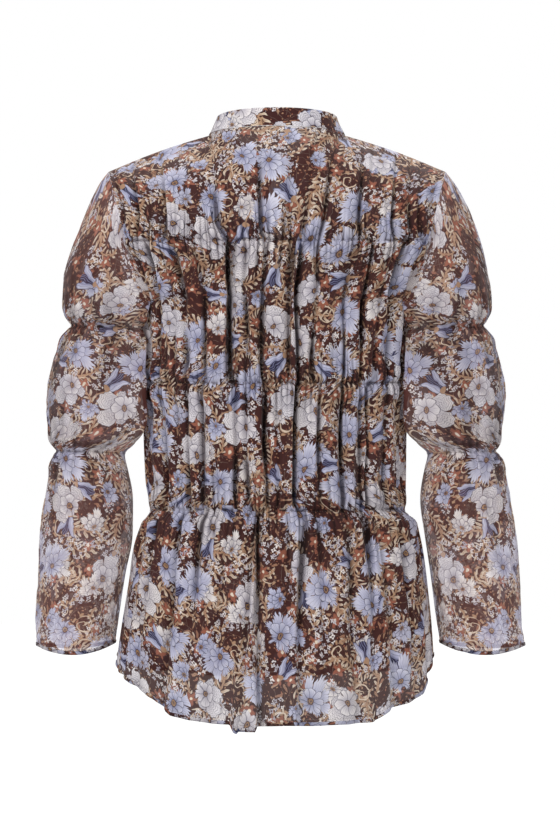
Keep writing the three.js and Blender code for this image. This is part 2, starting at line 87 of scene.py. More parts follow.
def seen_and_cast(tree, socket, seen, cast):
    """White to the camera, also through sheer cloth, but only a soft light on what stands in the room."""
    path = tree.nodes.new("ShaderNodeLightPath")
    level = tree.nodes.new("ShaderNodeMapRange")
    level.inputs["To Min"].default_value = cast
    level.inputs["To Max"].default_value = seen
    tree.links.new(path.outputs["Is Camera Ray"], level.inputs["Value"])
    tree.links.new(level.outputs["Result"], socket)


seen_and_cast(paper.node_tree, paper_shader.inputs["Emission Strength"], 0.95, 0.22)
seen_and_cast(world.node_tree, background.inputs["Strength"], 1.0, 0.4)

LAMPS = [
    {"name": "key", "at": (-1400, -2100, 1200), "size": 1100, "watts": 43},
    {"name": "fill", "at": (2000, -2200, 500), "size": 2000, "watts": 19},
    {"name": "back", "at": (300, 1500, 1700), "size": 1800, "watts": 38},
    {"name": "top", "at": (0, 100, 2100), "size": 1400, "watts": 8},
]
for lamp in LAMPS:
    light = bpy.data.objects.new(f"lamp_{lamp['name']}", bpy.data.lights.new(lamp["name"], "AREA"))
    light.data.size = lamp["size"] * MM
    light.data.energy = lamp["watts"]
    light.location = [v * MM for v in lamp["at"]]
    aim = np.array((0, 0, VIEW_MIDDLE[1])) - np.array(lamp["at"])
    turn = math.atan2(aim[1], aim[0])
    light.rotation_euler = (math.atan2(math.hypot(aim[0], aim[1]), -aim[2]), 0, turn - math.radians(90))
    bpy.context.collection.objects.link(light)


# The georgette
# All five pieces are cut from one crepe georgette, so thin that light passes through it. It was printed with
# flowers on red-brown before it was cut, so the drawing follows the cloth into every fold.
INK = {
    "ground": (0.042, 0.0095, 0.0085),
    "ground_light": (0.10, 0.036, 0.030),
    "rust": (0.30, 0.10, 0.060),
    "tan": (0.42, 0.25, 0.15),
    "cream": (0.80, 0.68, 0.54),
    "pale": (0.88, 0.82, 0.79),
    "grey_lilac": (0.40, 0.37, 0.44),
    "lilac_blue": (0.59, 0.60, 0.76),
    "blue": (0.24, 0.26, 0.44),
    "navy": (0.020, 0.020, 0.055),
    "ochre": (0.42, 0.23, 0.09),
}
FULL_TURN = 2 * math.pi
PRINT_SCALE = 1.15


def feed(socket, value):
    """Links a term to a socket, or sets the socket's own value. A colour comes as three numbers."""
    if isinstance(value, Term):
        socket.id_data.links.new(value.socket, socket)
    else:
        socket.default_value = (*value, 1) if socket.type == "RGBA" else value


class Term:
    """A value inside a node tree. Arithmetic on terms lays Math nodes in the tree."""

    def __init__(self, socket):
        self.socket = socket

    def math(self, operation, *others, clamp=False):
        node = self.socket.id_data.nodes.new("ShaderNodeMath")
        node.operation, node.use_clamp = operation, clamp
        for socket, value in zip(node.inputs, (self, *others)):
            feed(socket, value)
        return Term(node.outputs[0])

    def __add__(self, other):
        return self.math("ADD", other)

    def __sub__(self, other):
        return self.math("SUBTRACT", other)

    def __mul__(self, other):
        return self.math("MULTIPLY", other)

    def __truediv__(self, other):
        return self.math("DIVIDE", other)

    def times_plus(self, factor, more):
        return self.math("MULTIPLY_ADD", factor, more)

    def ramp(self, factor, more):
        """As times_plus, but held between 0 and 1."""
        return self.math("MULTIPLY_ADD", factor, more, clamp=True)

    def from_one(self):
        return self.times_plus(-1.0, 1.0)

    def fraction(self):
        return self.math("FRACT")

    def size(self):
        return self.math("ABSOLUTE")

    def zigzag(self):
        """1 at each whole number and 0 halfway between."""
        return self.fraction().times_plus(2.0, -1.0).size()

    def over(self, level):
        return self.math("GREATER_THAN", level)

    def most(self, other):
        return self.math("MAXIMUM", other)

    def inked(self, crisp=2.2):
        """1 where the term is above nought, with an edge about half a millimetre soft."""
        return self.ramp(crisp, 0.5)


class Nodes:
    """A node tree that is being filled. Nodes are laid in it, and their outputs are handed back as terms."""

    def __init__(self, tree):
        self.tree = tree

    def node(self, kind, inputs=None, **settings):
        node = self.tree.nodes.new(kind)
        for setting, value in settings.items():
            setattr(node, setting, value)
        for title, value in (inputs or {}).items():
            feed(node.inputs[title], value)
        return node

    def out(self, node, title=0):
        return Term(node.outputs[title])

    def use(self, drawing, inputs, titles=("Color", "Mask")):
        node = self.node("ShaderNodeGroup", node_tree=drawing.tree)
        for title, value in inputs.items():
            feed(node.inputs[title], value)
        return [self.out(node, title) for title in titles]

    def blend(self, mask, under, over, way="MIX"):
        """Colour "over" laid on colour "under" where the mask is 1."""
        node = self.node("ShaderNodeMix", data_type="RGBA", blend_type=way)
        for socket, value in zip((node.inputs[0], node.inputs[6], node.inputs[7]), (mask, under, over)):
            feed(socket, value)
        return self.out(node, 2)

    def vector(self, operation, first, second):
        title = "Scale" if operation == "SCALE" else 1
        return self.out(self.node("ShaderNodeVectorMath", {0: first, title: second}, operation=operation))

    def noise(self, place, scale, detail):
        inputs = {"Vector": place, "Scale": scale, "Detail": detail}
        return self.node("ShaderNodeTexNoise", inputs, noise_dimensions="2D")

    def attribute(self, name):
        return self.out(self.node("ShaderNodeAttribute", attribute_name=name), "Fac")

    def bumped(self, height, strength, distance):
        inputs = {"Strength": strength, "Distance": distance * MM, "Height": height}
        return self.out(self.node("ShaderNodeBump", inputs), "Normal")


class Drawing(Nodes):
    """A shader node group as it is drawn up: its inputs, what it puts out, and the nodes between them."""

    def __init__(self, name, inputs, outputs):
        super().__init__(bpy.data.node_groups.new(name, "ShaderNodeTree"))
        for title, value in inputs.items():
            kind = "Float" if isinstance(value, float) else "Color"
            kind = "Vector" if value is None else kind
            socket = self.tree.interface.new_socket(title, in_out="INPUT", socket_type=f"NodeSocket{kind}")
            if value is not None:
                socket.default_value = (*value, 1) if kind == "Color" else value
        for title, kind in outputs.items():
            self.tree.interface.new_socket(title, in_out="OUTPUT", socket_type=f"NodeSocket{kind}")
        self.entry = self.node("NodeGroupInput")
        self.exit = self.node("NodeGroupOutput")

    def take(self, title):
        return self.out(self.entry, title)

    def give(self, title, term):
        feed(self.exit.inputs[title], term)

    def done(self, colour, mask):
        self.give("Color", colour)
        self.give("Mask", mask)
        return self

    def split(self, vector):
        node = self.node("ShaderNodeSeparateXYZ", {"Vector": vector})
        return self.out(node, "X"), self.out(node, "Y")

    def polar(self, vector):
        x, y = self.split(vector)
        length = self.node("ShaderNodeVectorMath", {0: vector}, operation="LENGTH")
        return self.out(length, "Value"), y.math("ARCTAN2", x)

    def scatter(self, place, spacing, looseness, turn, shift):
        """One motif to a cell: the place within it, turned at random, and three random numbers for it."""
        moves = {"Location": (*shift, 0), "Rotation": (0, 0, turn), "Scale": (1 / spacing,) * 3}
        moved = self.out(self.node("ShaderNodeMapping", {"Vector": place, **moves}))
        cells = {"Vector": moved, "Scale": 1.0, "Randomness": looseness}
        cells = self.node("ShaderNodeTexVoronoi", cells, voronoi_dimensions="2D")
        away = self.vector("SCALE", self.vector("SUBTRACT", moved, self.out(cells, "Position")), spacing)
        dice = self.node("ShaderNodeSeparateColor", {"Color": self.out(cells, "Color")})
        dice = [self.out(dice, i) for i in range(3)]
        turned = {"Vector": away, "Angle": dice[0] * FULL_TURN}
        return self.out(self.node("ShaderNodeVectorRotate", turned, rotation_type="Z_AXIS")), dice


def draw_bloom():
    """A broad flower: toothed or scalloped petals in two rings, with veins, outlines and a dotted centre."""
    inputs = {"Place": None, "Radius": 20.0, "Petals": 8.0, "Teeth": 1.0, "Layers": 0.0}
    inputs |= {"Edge": INK["lilac_blue"], "Heart": INK["blue"], "Line": INK["navy"], "Centre": INK["ochre"]}
    d = Drawing("bloom", inputs, {"Color": "Color", "Mask": "Float"})
    r, angle = d.polar(d.take("Place"))
    radius, petals = d.take("Radius"), d.take("Petals")
    petal = angle * petals / FULL_TURN
    wide = r / petals * FULL_TURN
    across = (petal.fraction() - 0.5).size()
    arch = (across * across).times_plus(-4.0, 1.0).math("POWER", 0.45)
    fringe = (petal * 5.0).zigzag()
    uneven_petals = (petal.math("FLOOR") * 2.4 + radius * 7.0).math("SINE") * 0.15
    side_view = angle.math("COSINE").times_plus(0.4, 0.88) + uneven_petals
    reach = (arch.times_plus(0.4, 0.6) - fringe * d.take("Teeth") * 0.2) * side_view
    depth = reach * radius - r
    outline = depth.ramp(-1.5, 1.5)
    gap = (across.times_plus(-1.0, 0.5) * wide).ramp(-2.4, 1.35)
    vein = (fringe.from_one() * wide).ramp(-0.5, 0.95) * 0.7
    scroll = (depth * 0.44).zigzag().ramp(4.0, -2.6)
    fine = vein.most(scroll * d.take("Layers"))
    toned = (r / radius).math("POWER", 1.25)
    colour = d.blend(toned, d.take("Heart"), d.take("Edge"))
    colour = d.blend(fine.most(gap).most(outline) * 0.8, colour, d.take("Line"))
    second = petal + 0.5
    across_2 = (second.fraction() - 0.5).size()
    arch_2 = (across_2 * across_2).times_plus(-4.0, 1.0).math("POWER", 0.5)
    depth_2 = arch_2.times_plus(0.2, 0.4) * radius - r
    ring = depth_2.size().ramp(-2.2, 1.2)
    toned_2 = (r / radius).ramp(2.0, -0.15)
    inner = d.blend(toned_2, d.take("Heart"), d.take("Edge"))
    gap_2 = (across_2.times_plus(-1.0, 0.5) * wide).ramp(-2.4, 1.3)
    inner = d.blend(gap_2.most(vein) * 0.75, inner, d.take("Line"))
    colour = d.blend(depth_2.inked(), colour, inner)
    colour = d.blend(ring * 0.85, colour, d.take("Line"))
    dots = (petal * 2.0).zigzag() + (r * 0.45).fraction()
    heart = d.blend(dots.over(1.1), d.take("Line"), d.take("Centre"))
    colour = d.blend((radius * 0.16 - r).inked(), colour, heart)
    return d.done(colour, depth.inked())


def draw_cup():
    """A drooping cup flower: two outer petals bent round a striped inner one, above a small stalk."""
    d = Drawing("cup flower", {"Place": None, "Size": 1.0}, {"Color": "Color", "Mask": "Float"})
    x, y = d.split(d.take("Place"))
    x, y = x / d.take("Size"), y / d.take("Size")
    wide = x.size()

    def oval(dx, dy, half_wide, half_tall):
        squares = (dx / half_wide).math("POWER", 2.0) + (dy / half_tall).math("POWER", 2.0)
        return squares.math("SQRT").from_one()

    lift = y + 9.0
    lean = wide - lift * lift * 0.014
    outer = oval(lean - 3.4, y - 0.5, 3.0, 10.5) * 3.0
    middle = oval(x, y - 0.5, 4.4, 9.5) * 4.4
    stripe = (x * 0.55).zigzag().ramp(3.0, -1.7)
    inside = d.blend(stripe * 0.75, INK["navy"], INK["blue"])
    petal = d.blend((lean * 0.2).ramp(1.0, 0.0), INK["blue"], INK["lilac_blue"])
    petal = d.blend((lean * 0.55).fraction().over(0.84) * 0.6, petal, INK["navy"])
    colour = d.blend((outer - 0.2).inked(), inside, petal)
    outline = outer.size().ramp(-2.2, 1.2)
    colour = d.blend(outline, colour, INK["navy"])
    low = y + 16.0
    stalk = (x - low * 0.2).size().times_plus(-1.0, 0.8)
    stalk = stalk.math("MINIMUM", low.size().times_plus(-1.0, 7.0))
    tip = oval(x, y + 9.5, 3.4, 2.4) * 2.4
    green = stalk.most(tip)
    colour = d.blend(green.inked(), colour, INK["tan"])
    body = outer.most(middle)
    return d.done(colour, body.most(green).inked())


def draw_spray():
    """A curling stalk with pointed leaves on both sides, drawn along part of a circle."""
    inputs = {"Place": None, "Curl": 15.0, "Leaf": INK["tan"], "Tip": INK["cream"]}
    d = Drawing("leaf spray", inputs, {"Color": "Color", "Mask": "Float"})
    r, angle = d.polar(d.take("Place"))
    curl = d.take("Curl")
    along = angle * curl
    aside = r - curl
    out = aside.size()
    side = aside.over(0.0)
    leaf_number = along / 5.6 + side * 0.5 - out * 0.12
    lengthwise = (leaf_number.fraction() - 0.5) * 5.6
    taper = angle.size().ramp(-0.32, 1.0)
    share = out / (taper * 8.0 + 0.5)
    girth = (share * share.from_one()).most(0.0).math("SQRT") * 2.7
    leaf = girth - lengthwise.size()
    rib = lengthwise.size().ramp(-3.0, 1.0)
    stalk = out.times_plus(-1.0, 0.75)
    drawn = leaf.most(stalk) - (angle.size() - 2.5).most(0.0) * 9.0
    colour = d.blend(share.ramp(1.6, -0.3), d.take("Leaf"), d.take("Tip"))
    colour = d.blend(rib * 0.65, colour, INK["ground_light"])
    colour = d.blend(leaf.size().ramp(-2.4, 0.9) * 0.6, colour, INK["ground_light"])
    return d.done(colour, drawn.inked())


def draw_scroll():
    """A tendril that winds inwards, thick where it leaves its stalk, with small buds on its outer side."""
    d = Drawing("scroll", {"Place": None, "Size": 9.0}, {"Color": "Color", "Mask": "Float"})
    r, angle = d.polar(d.take("Place"))
    coil = r / 6.0 - angle / FULL_TURN
    apart = (coil.fraction() - 0.5).size() * 6.0
    size = d.take("Size")
    thick = (r / size).times_plus(0.75, 0.2)
    stroke = (thick - apart).math("MINIMUM", size - r)
    bud_place = (angle * (9.0 / FULL_TURN)).zigzag()
    bud = (bud_place * -2.4 + 1.1).math("MINIMUM", (r - size - 1.4).size().times_plus(-1.0, 1.2))
    drawn = stroke.most(bud)
    colour = d.blend((apart / thick).ramp(1.0, 0.0), INK["cream"], INK["tan"])
    return d.done(d.blend(bud.inked(), colour, INK["tan"]), drawn.inked())


def draw_print():
    """The whole print, from its ground up to the large blooms that lie over everything else."""
    d = Drawing("flower print", {"Place": None}, {"Color": "Color"})
    bloom, cup, spray, scroll = draw_bloom(), draw_cup(), draw_spray(), draw_scroll()
    wobble = d.out(d.noise(d.take("Place"), 0.11, 1.0), "Color")
    wobble = d.vector("SCALE", d.vector("SUBTRACT", wobble, (0.5, 0.5, 0.5)), 5.0)
    place = d.vector("ADD", d.take("Place"), wobble)
    colour = INK["ground"]

    spot, dice = d.scatter(place, 3.6, 0.9, 0.4, (3, 8))
    r, _ = d.polar(spot)
    seed_mask = r.times_plus(-1.0, 0.75).inked() * dice[1].over(0.42)
    colour = d.blend(seed_mask, colour, d.blend(dice[2], INK["rust"], INK["tan"]))

    spot, dice = d.scatter(place, 9.5, 0.95, 1.1, (31, 5))
    x, y = d.split(spot)
    leaf = (x * x).times_plus(-0.085, 1.1) - y.size()
    tint = d.blend(dice[2], INK["rust"], INK["tan"])
    tint = d.blend(y.size().ramp(-3.5, 1.0), tint, INK["ground_light"])
    colour = d.blend(leaf.inked() * dice[1].over(0.5), colour, tint)

    for spacing, turn, shift, curl in ((47.0, 0.55, (11, 23), 13.0), (58.0, 1.9, (-17, 40), 19.0)):
        spot, dice = d.scatter(place, spacing, 0.7, turn, shift)
        tint, mask = d.use(spray, {"Place": spot, "Curl": curl})
        colour = d.blend(mask * dice[1].over(0.2), colour, tint)

    spot, dice = d.scatter(place, 27.0, 0.8, 1.3, (5, -21))
    tint, mask = d.use(scroll, {"Place": spot, "Size": dice[1].times_plus(4.0, 6.0)})
    colour = d.blend(mask * dice[2].over(0.52), colour, tint)

    spot, dice = d.scatter(place, 21.0, 0.85, 0.2, (7, 61))
    r, angle = d.polar(spot)
    point = (angle * (5.0 / FULL_TURN)).zigzag()
    star = point.times_plus(3.6, 3.4) - r
    tint = d.blend(star.ramp(-0.9, 1.1), INK["rust"], INK["ground_light"])
    tint = d.blend(r.times_plus(-1.0, 1.5).inked(), tint, INK["cream"])
    colour = d.blend(star.inked() * dice[1].over(0.45), colour, tint)

    spot, dice = d.scatter(place, 5.4, 0.75, 0.9, (13, 17))
    cluster = d.out(d.noise(d.take("Place"), 0.036, 0.0))
    r, angle = d.polar(spot)
    floret = (angle * 4.0).math("COSINE").times_plus(0.55, 1.75) - r
    tint = d.blend(dice[2], INK["grey_lilac"], INK["pale"])
    tint = d.blend(r.times_plus(-1.0, 0.7).inked(), tint, INK["ground"])
    colour = d.blend(floret.inked() * cluster.over(0.54), colour, tint)

    spot, dice = d.scatter(place, 43.0, 0.6, 2.3, (29, -12))
    small = {"Place": spot, "Radius": dice[1].times_plus(4.0, 9.5), "Teeth": 0.7}
    small |= {"Petals": dice[2].times_plus(4.0, 6.0).math("FLOOR")}
    small |= {"Edge": d.blend(dice[1].over(0.68), INK["lilac_blue"], INK["pale"])}
    small |= {"Heart": d.blend(dice[1].over(0.55), INK["blue"], INK["grey_lilac"])}
    tint, mask = d.use(bloom, small)
    colour = d.blend(mask * dice[2].over(0.34), colour, tint)

    spot, dice = d.scatter(place, 61.0, 0.6, 0.75, (-8, 33))
    tint, mask = d.use(cup, {"Place": spot, "Size": dice[1].times_plus(0.3, 0.85)})
    colour = d.blend(mask * dice[2].over(0.25), colour, tint)

    spot, dice = d.scatter(place, 52.0, 0.5, 0.35, (19, 4))
    layered = dice[1].over(0.6)
    large = {"Place": spot, "Radius": dice[2].times_plus(5.0, 17.5), "Teeth": layered.times_plus(-0.75, 1.0)}
    large |= {"Petals": layered.times_plus(-3.0, 9.0), "Layers": layered * 0.8}
    large |= {"Edge": d.blend(layered.times_plus(0.6, dice[2] * 0.25), INK["lilac_blue"], INK["pale"])}
    large |= {"Heart": d.blend(layered, INK["blue"], INK["grey_lilac"])}
    tint, mask = d.use(bloom, large)
    colour = d.blend(mask * dice[2].over(0.14), colour, tint)
    d.give("Color", colour)
    return d


def draw_crepe():
    """The surface of crepe georgette: twisted yarns that cross, and a soft pebbling over them."""
    d = Drawing("crepe", {"Place": None}, {"Height": "Float"})
    x, y = d.split(d.take("Place"))
    yarns = (x * 13.0).math("SINE") * (y * 13.0).math("SINE")
    d.give("Height", yarns * 0.25 + d.out(d.noise(d.take("Place"), 1.1, 2.0)))
    return d


# Painted shade, multiplied into the colour on the outside of the cloth in its folds and creases.
VALLEY_SHADE = (0.16, 0.13, 0.14)
# Painted light: the light that comes through the sheer cloth, added to its colour where it is sheer.
PAINTED_SHEER_LIGHT = (0.13, 0.048, 0.036)
PALE_INK = {"from": 0.6, "least": 0.34}
# Painted glow: the print gives off a faint light where the cloth is sheer and on its wrong side.
PAINTED_GLOW_THROUGH = 2.3


def georgette_of(name, print_drawing, crepe_drawing):
    """The printed cloth, with painted light and shade. Each mesh's attributes say how sheer it is and how
    much painted shade lies on a point in its folds.
    """
    material = bpy.data.materials.new(name)
    material.use_nodes = True
    cloth = Nodes(material.node_tree)
    place = cloth.vector("SCALE", cloth.out(cloth.node("ShaderNodeUVMap", uv_map="cut"), "UV"), 1 / MM)
    on_print = cloth.vector("SCALE", place, 1 / PRINT_SCALE)
    printed = cloth.use(print_drawing, {"Place": on_print}, ["Color"])[0]
    height = cloth.use(crepe_drawing, {"Place": place}, ["Height"])[0]
    wrong_side = cloth.out(cloth.node("ShaderNodeNewGeometry"), "Backfacing")
    clear = cloth.attribute("cover").from_one()
    # Painted light added to the colour where the cloth is sheer.
    with_painted_sheer_light = cloth.blend(clear, printed, PAINTED_SHEER_LIGHT, way="ADD")
    # Painted shade in the folds and creases, on the outside of the cloth only.
    valley = cloth.attribute("fold_shade") * wrong_side.from_one()
    pale = {"Value": printed, "From Max": PALE_INK["from"], "To Min": PALE_INK["least"]}
    paleness = cloth.out(cloth.node("ShaderNodeMapRange", pale), "Result")
    # Painted glow: the print is made to give off light where the cloth is sheer and on its wrong side.
    painted_glow = clear.math("MULTIPLY_ADD", PAINTED_GLOW_THROUGH, wrong_side, clamp=True)
    surface = {
        "Base Color": cloth.blend(valley, with_painted_sheer_light, VALLEY_SHADE, way="MULTIPLY"),
        "Alpha": (clear * paleness).from_one(),
        "Emission Color": cloth.blend(painted_glow, (0, 0, 0), printed),
        "Emission Strength": 0.2,
        "Roughness": 0.72,
        "Specular IOR Level": 0.18,
        "Sheen Weight": 0.08,
        "Sheen Roughness": 0.5,
        "Normal": cloth.bumped(height, 0.5, 0.15),
    }
    for title, value in surface.items():
        feed(cloth.tree.nodes["Principled BSDF"].inputs[title], value)
    return material


georgette = georgette_of("printed_georgette", draw_print(), draw_crepe())


# The back
# One piece of georgette from the neck and shoulders to a shirt-tail hem, wide enough to fall in deep folds.
# Three lines of elastic thread are sewn across it, and the cloth gathers above and below each of them.
# It shares the smooth form of the worn body with the front, so that the two meet at the sides and shoulders.
BODY = {
    "z": [-600, -542, -473, -440, -412, -396, -363, -308, -256, -215, -165, -99],
    "left": [181, 173.8, 162.8, 158.4, 149.6, 139.7, 144.7, 146.9, 147.4, 149.6, 150, 166],
    "right": [174, 171.6, 165, 160.6, 153.5, 140.8, 141.9, 142.5, 143, 146.3, 150, 166],
    "back": [127, 121, 111, 104, 96, 90, 95, 98, 98, 104, 107, 106],
    "front": [128, 124, 116, 110, 102, 97, 103, 108, 109, 117, 120, 116],
}
SECTION_ROUNDNESS = 0.85
SHOULDER_X, SHOULDER_Z, SHOULDER_ARCH = 185, -24, 2.5
ARMPIT_X, ARMPIT_Z = 150, -165
ARMHOLE_MIDDLE, ARMHOLE_HALF = (SHOULDER_Z + ARMPIT_Z) / 2, (SHOULDER_Z - ARMPIT_Z) / 2
ARMHOLE_REACH = {-1: 58, 1: 53}
NECK_HALF, NECK_SIDE = 74, 16
NECK_AWAY = {-1: 60, 1: 58}
NECK_BACK_RISE, NECK_FRONT_DROP = 10, 46
CHEST_LINE, WAIST_LINE, HIP_LINE = -99, -256, -396
ELASTIC_LINES = (CHEST_LINE, WAIST_LINE, HIP_LINE)
FAN = {"angle": [0, 0.11, 0.2, 0.36, 0.5, 0.7, 1], "top": [0, 0.45, 1, 1.22, 1.45, 1.7, 2]}
SEAM_GAP, HALF_CLOTH = 0.35, 0.6
QUARTER = math.pi / 2
ROLL_INWARD = 0.6
PRINT_EVENING = 30


def unit(vectors):
    return vectors / np.maximum(np.linalg.norm(vectors, axis=-1, keepdims=True), 1e-9)


def bell(apart, width, power=2):
    """1 in the middle of a fold, falling away on both sides."""
    return np.exp(-(np.abs(apart / width) ** power))


def eased(xs, ys, at):
    """A curve through the points that never swings past them."""
    xs, ys = np.asarray(xs, float), np.asarray(ys, float)
    step = np.diff(xs)
    slope = np.diff(ys) / step
    both = slope[:-1] + slope[1:]
    tangent = np.zeros(len(xs))
    same_way = slope[:-1] * slope[1:] > 0
    tangent[1:-1][same_way] = 2 * (slope[:-1] * slope[1:])[same_way] / both[same_way]
    tangent[0], tangent[-1] = slope[0], slope[-1]
    i = np.clip(np.searchsorted(xs, at) - 1, 0, len(xs) - 2)
    t = np.clip((at - xs[i]) / step[i], 0, 1)
    rise = t * t * (3 - 2 * t)
    return (
        ys[i] * (1 - rise)
        + ys[i + 1] * rise
        + step[i] * t * (1 - t) * (tangent[i] * (1 - t) - tangent[i + 1] * t)
    )


def smooth_step(low, high, at):
    t = np.clip((at - low) / (high - low), 0, 1)
    return t * t * (3 - 2 * t)


def uneven(seed, x, y=0.0):
    """Soft random ups and downs from -1 to 1, about one to each unit of x and y."""
    cells = 96
    table = np.random.default_rng(seed).uniform(-1, 1, (cells, cells))
    x, y = np.broadcast_arrays(np.asarray(x, float), np.asarray(y, float))
    i, j = np.floor(x).astype(int), np.floor(y).astype(int)
    u, v = smooth_step(0, 1, x - i), smooth_step(0, 1, y - j)
    i0, j0, i1, j1 = i % cells, j % cells, (i + 1) % cells, (j + 1) % cells
    near = table[i0, j0] * (1 - u) + table[i1, j0] * u
    far = table[i0, j1] * (1 - u) + table[i1, j1] * u
    return near * (1 - v) + far * v


def armhole_x(z):
    return ARMPIT_X + (z - ARMPIT_Z) / (SHOULDER_Z - ARMPIT_Z) * (SHOULDER_X - ARMPIT_X)


def armhole_turn(z):
    return np.arccos(np.clip((z - ARMHOLE_MIDDLE) / ARMHOLE_HALF, -1, 1))


def armhole(side, facing, turn):
    """A point on the armhole, which is an oval in a leaning plane: turn 0 is the shoulder, pi the armpit."""
    z = ARMHOLE_MIDDLE + ARMHOLE_HALF * np.cos(turn)
    return np.stack([side * armhole_x(z), facing * ARMHOLE_REACH[facing] * np.sin(turn), z], -1)


def neck_point(turn):
    """A point on the neck seam: turn 0 is the centre back, a quarter turn the shoulder, pi the front."""
    away = np.cos(turn)
    y = np.where(away > 0, -NECK_AWAY[-1], -NECK_AWAY[1]) * away
    z = NECK_SIDE + np.where(away > 0, NECK_BACK_RISE * away, -NECK_FRONT_DROP * away**2)
    return np.stack([NECK_HALF * np.sin(turn), y, z], -1)


def top_point(facing, angle):
    """Where a column of the cloth meets the neck or the shoulder seam."""
    top = np.interp(np.abs(angle), FAN["angle"], FAN["top"])
    at_neck = np.clip(top, 0, 1) * QUARTER
    neck = neck_point(at_neck if facing < 0 else math.pi - at_neck)
    along = np.clip(top - 1, 0, 1)
    z = NECK_SIDE + (SHOULDER_Z - NECK_SIDE) * along + SHOULDER_ARCH * np.sin(along * math.pi)
    shoulder = np.stack([NECK_HALF + (SHOULDER_X - NECK_HALF) * along, np.zeros_like(z), z], -1)
    point = np.where((top <= 1)[..., None], neck, shoulder)
    point[..., 0] *= np.where(angle < 0, -1, 1)
    return point, top


def section_point(facing, angle, z):
    """A point of the smooth form at a level: angles -1 and 1 are the side seams or armholes."""
    left, right = eased(BODY["z"], BODY["left"], z), eased(BODY["z"], BODY["right"], z)
    above = z > ARMPIT_Z
    reach = np.where(above, armhole_x(z), np.where(angle < 0, left, right))
    edge = np.where(above, ARMHOLE_REACH[facing] * np.sin(armhole_turn(z)), 0)
    deep = eased(BODY["z"], BODY["back" if facing < 0 else "front"], z)
    away = np.abs(np.cos(angle * QUARTER)) ** SECTION_ROUNDNESS
    return np.stack([reach * np.sin(angle * QUARTER), facing * (edge + (deep - edge) * away), z], -1)


def roll_slope(facing, top):
    shoulder, neck = (0.25, 0.8) if facing < 0 else (0.45, 0.3)
    return shoulder + neck * np.clip(1 - top, 0, None) ** 2


def bent(low, middle, high, rise):
    t = rise[..., None]
    return (1 - t) ** 2 * low + 2 * t * (1 - t) * middle + t**2 * high


def yoke_point(facing, angle, rise):
    """Above the chest line the cloth rises straight, then rolls over to the shoulder and the neck."""
    side = np.where(angle < 0, -1, 1)
    low = section_point(facing, angle, np.full_like(angle, CHEST_LINE))
    high, top = top_point(facing, angle)
    drop = roll_slope(facing, top) * np.abs(high[..., 1] - low[..., 1])
    roll_z = np.maximum(high[..., 2] - drop, CHEST_LINE + 12)
    roll_x = low[..., 0] * (1 - ROLL_INWARD) + high[..., 0] * ROLL_INWARD
    roll = np.stack([roll_x, low[..., 1], roll_z], -1)
    point = bent(low, roll, high, rise)
    start = armhole_turn(CHEST_LINE)
    edge_low = armhole(side, facing, np.full_like(angle, start))
    edge_high = armhole(side, facing, np.zeros_like(angle))
    edge_roll_z = edge_high[..., 2] - roll_slope(facing, 2) * np.abs(edge_low[..., 1])
    edge_roll_x = edge_low[..., 0] * (1 - ROLL_INWARD) + edge_high[..., 0] * ROLL_INWARD
    edge_roll = np.stack([edge_roll_x, edge_low[..., 1], edge_roll_z], -1)
    edge = bent(edge_low, edge_roll, edge_high, rise)
    near = smooth_step(0.7, 1, np.abs(angle))[..., None]
    return point + (armhole(side, facing, start * (1 - rise)) - edge) * near


def outward_of(grid, closed=False):
    """Unit normals of a grid of points, its rows running down and its columns to the wearer's right."""
    if closed:
        across = np.roll(grid, -1, 1) - np.roll(grid, 1, 1)
    else:
        across = np.gradient(grid, axis=1)
    return unit(np.cross(np.gradient(grid, axis=0), across))


def spread(values, passes):
    """Evens a grid out from row to row, with its first and last rows kept."""
    values = values.copy()
    for _ in range(passes):
        values[1:-1] = (values[:-2] + 2 * values[1:-1] + values[2:]) / 4
    return values


def cloth_lengths(grid, closed=False):
    """How far each point lies across and down the cloth, which places the print and gives the cut."""
    across = np.linalg.norm(np.diff(grid, axis=1), axis=-1)
    if closed:
        last = np.linalg.norm(grid[:, :1] - grid[:, -1:], axis=-1)
        across = np.concatenate([across, last], 1)
    across = np.concatenate([np.zeros((len(grid), 1)), np.cumsum(across, 1)], 1)
    down = np.linalg.norm(np.diff(grid, axis=0), axis=-1)
    down = np.concatenate([np.zeros((1, grid.shape[1])), np.cumsum(down, 0)], 0)
    return across, down


def placed_piece(name, mesh):
    """Puts a mesh in the scene as a piece of the blouse."""
    piece = bpy.data.objects.new(name, mesh)
    bpy.context.collection.objects.link(piece)
    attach(piece, "root")
    return piece


def cloth_piece(name, grid, flat_across, flat_down, fold_shade, cover, skip=None, closed=False, turned=False):
    """A thin shell from a grid of points, with a UV map that holds its place on the cut cloth."""
    rows, columns = grid.shape[:2]
    wide = columns if closed else columns - 1
    r, c = np.meshgrid(np.arange(rows - 1), np.arange(wide), indexing="ij")
    if skip is not None:
        kept = ~skip(r, c)
        r, c = r[kept], c[kept]
    r, c = r.ravel(), c.ravel()
    corner_rows = np.stack([r, r + 1, r + 1, r], -1)
    corner_columns = np.stack([c, c, c + 1, c + 1], -1)
    if turned:
        corner_rows, corner_columns = corner_rows[:, ::-1], corner_columns[:, ::-1]
    corners = corner_rows * columns + corner_columns % columns
    used, corners = np.unique(corners, return_inverse=True)
    corners = corners.reshape(-1, 4)
    mesh = bpy.data.meshes.new(name)
    mesh.from_pydata((grid.reshape(-1, 3)[used] * MM).tolist(), [], corners.tolist())
    mesh.polygons.foreach_set("use_smooth", [True] * len(corners))
    u = flat_across[corner_rows, corner_columns] * MM
    v = flat_down[corner_rows, corner_columns % columns] * MM
    cut = mesh.uv_layers.new(name="cut")
    cut.data.foreach_set("uv", np.stack([u, -v], -1).ravel())
    fold_shade = np.broadcast_to(fold_shade, grid.shape[:2]).ravel()[used]
    # Where painted fold shade lies, the cloth is also made less sheer.
    for title, values in (("fold_shade", fold_shade), ("cover", 1 - (1 - cover) ** (1 + 2 * fold_shade))):
        mesh.attributes.new(title, "FLOAT", "POINT").data.foreach_set("value", values)
    mesh.materials.append(georgette)
    mesh.update()
    return placed_piece(name, mesh)


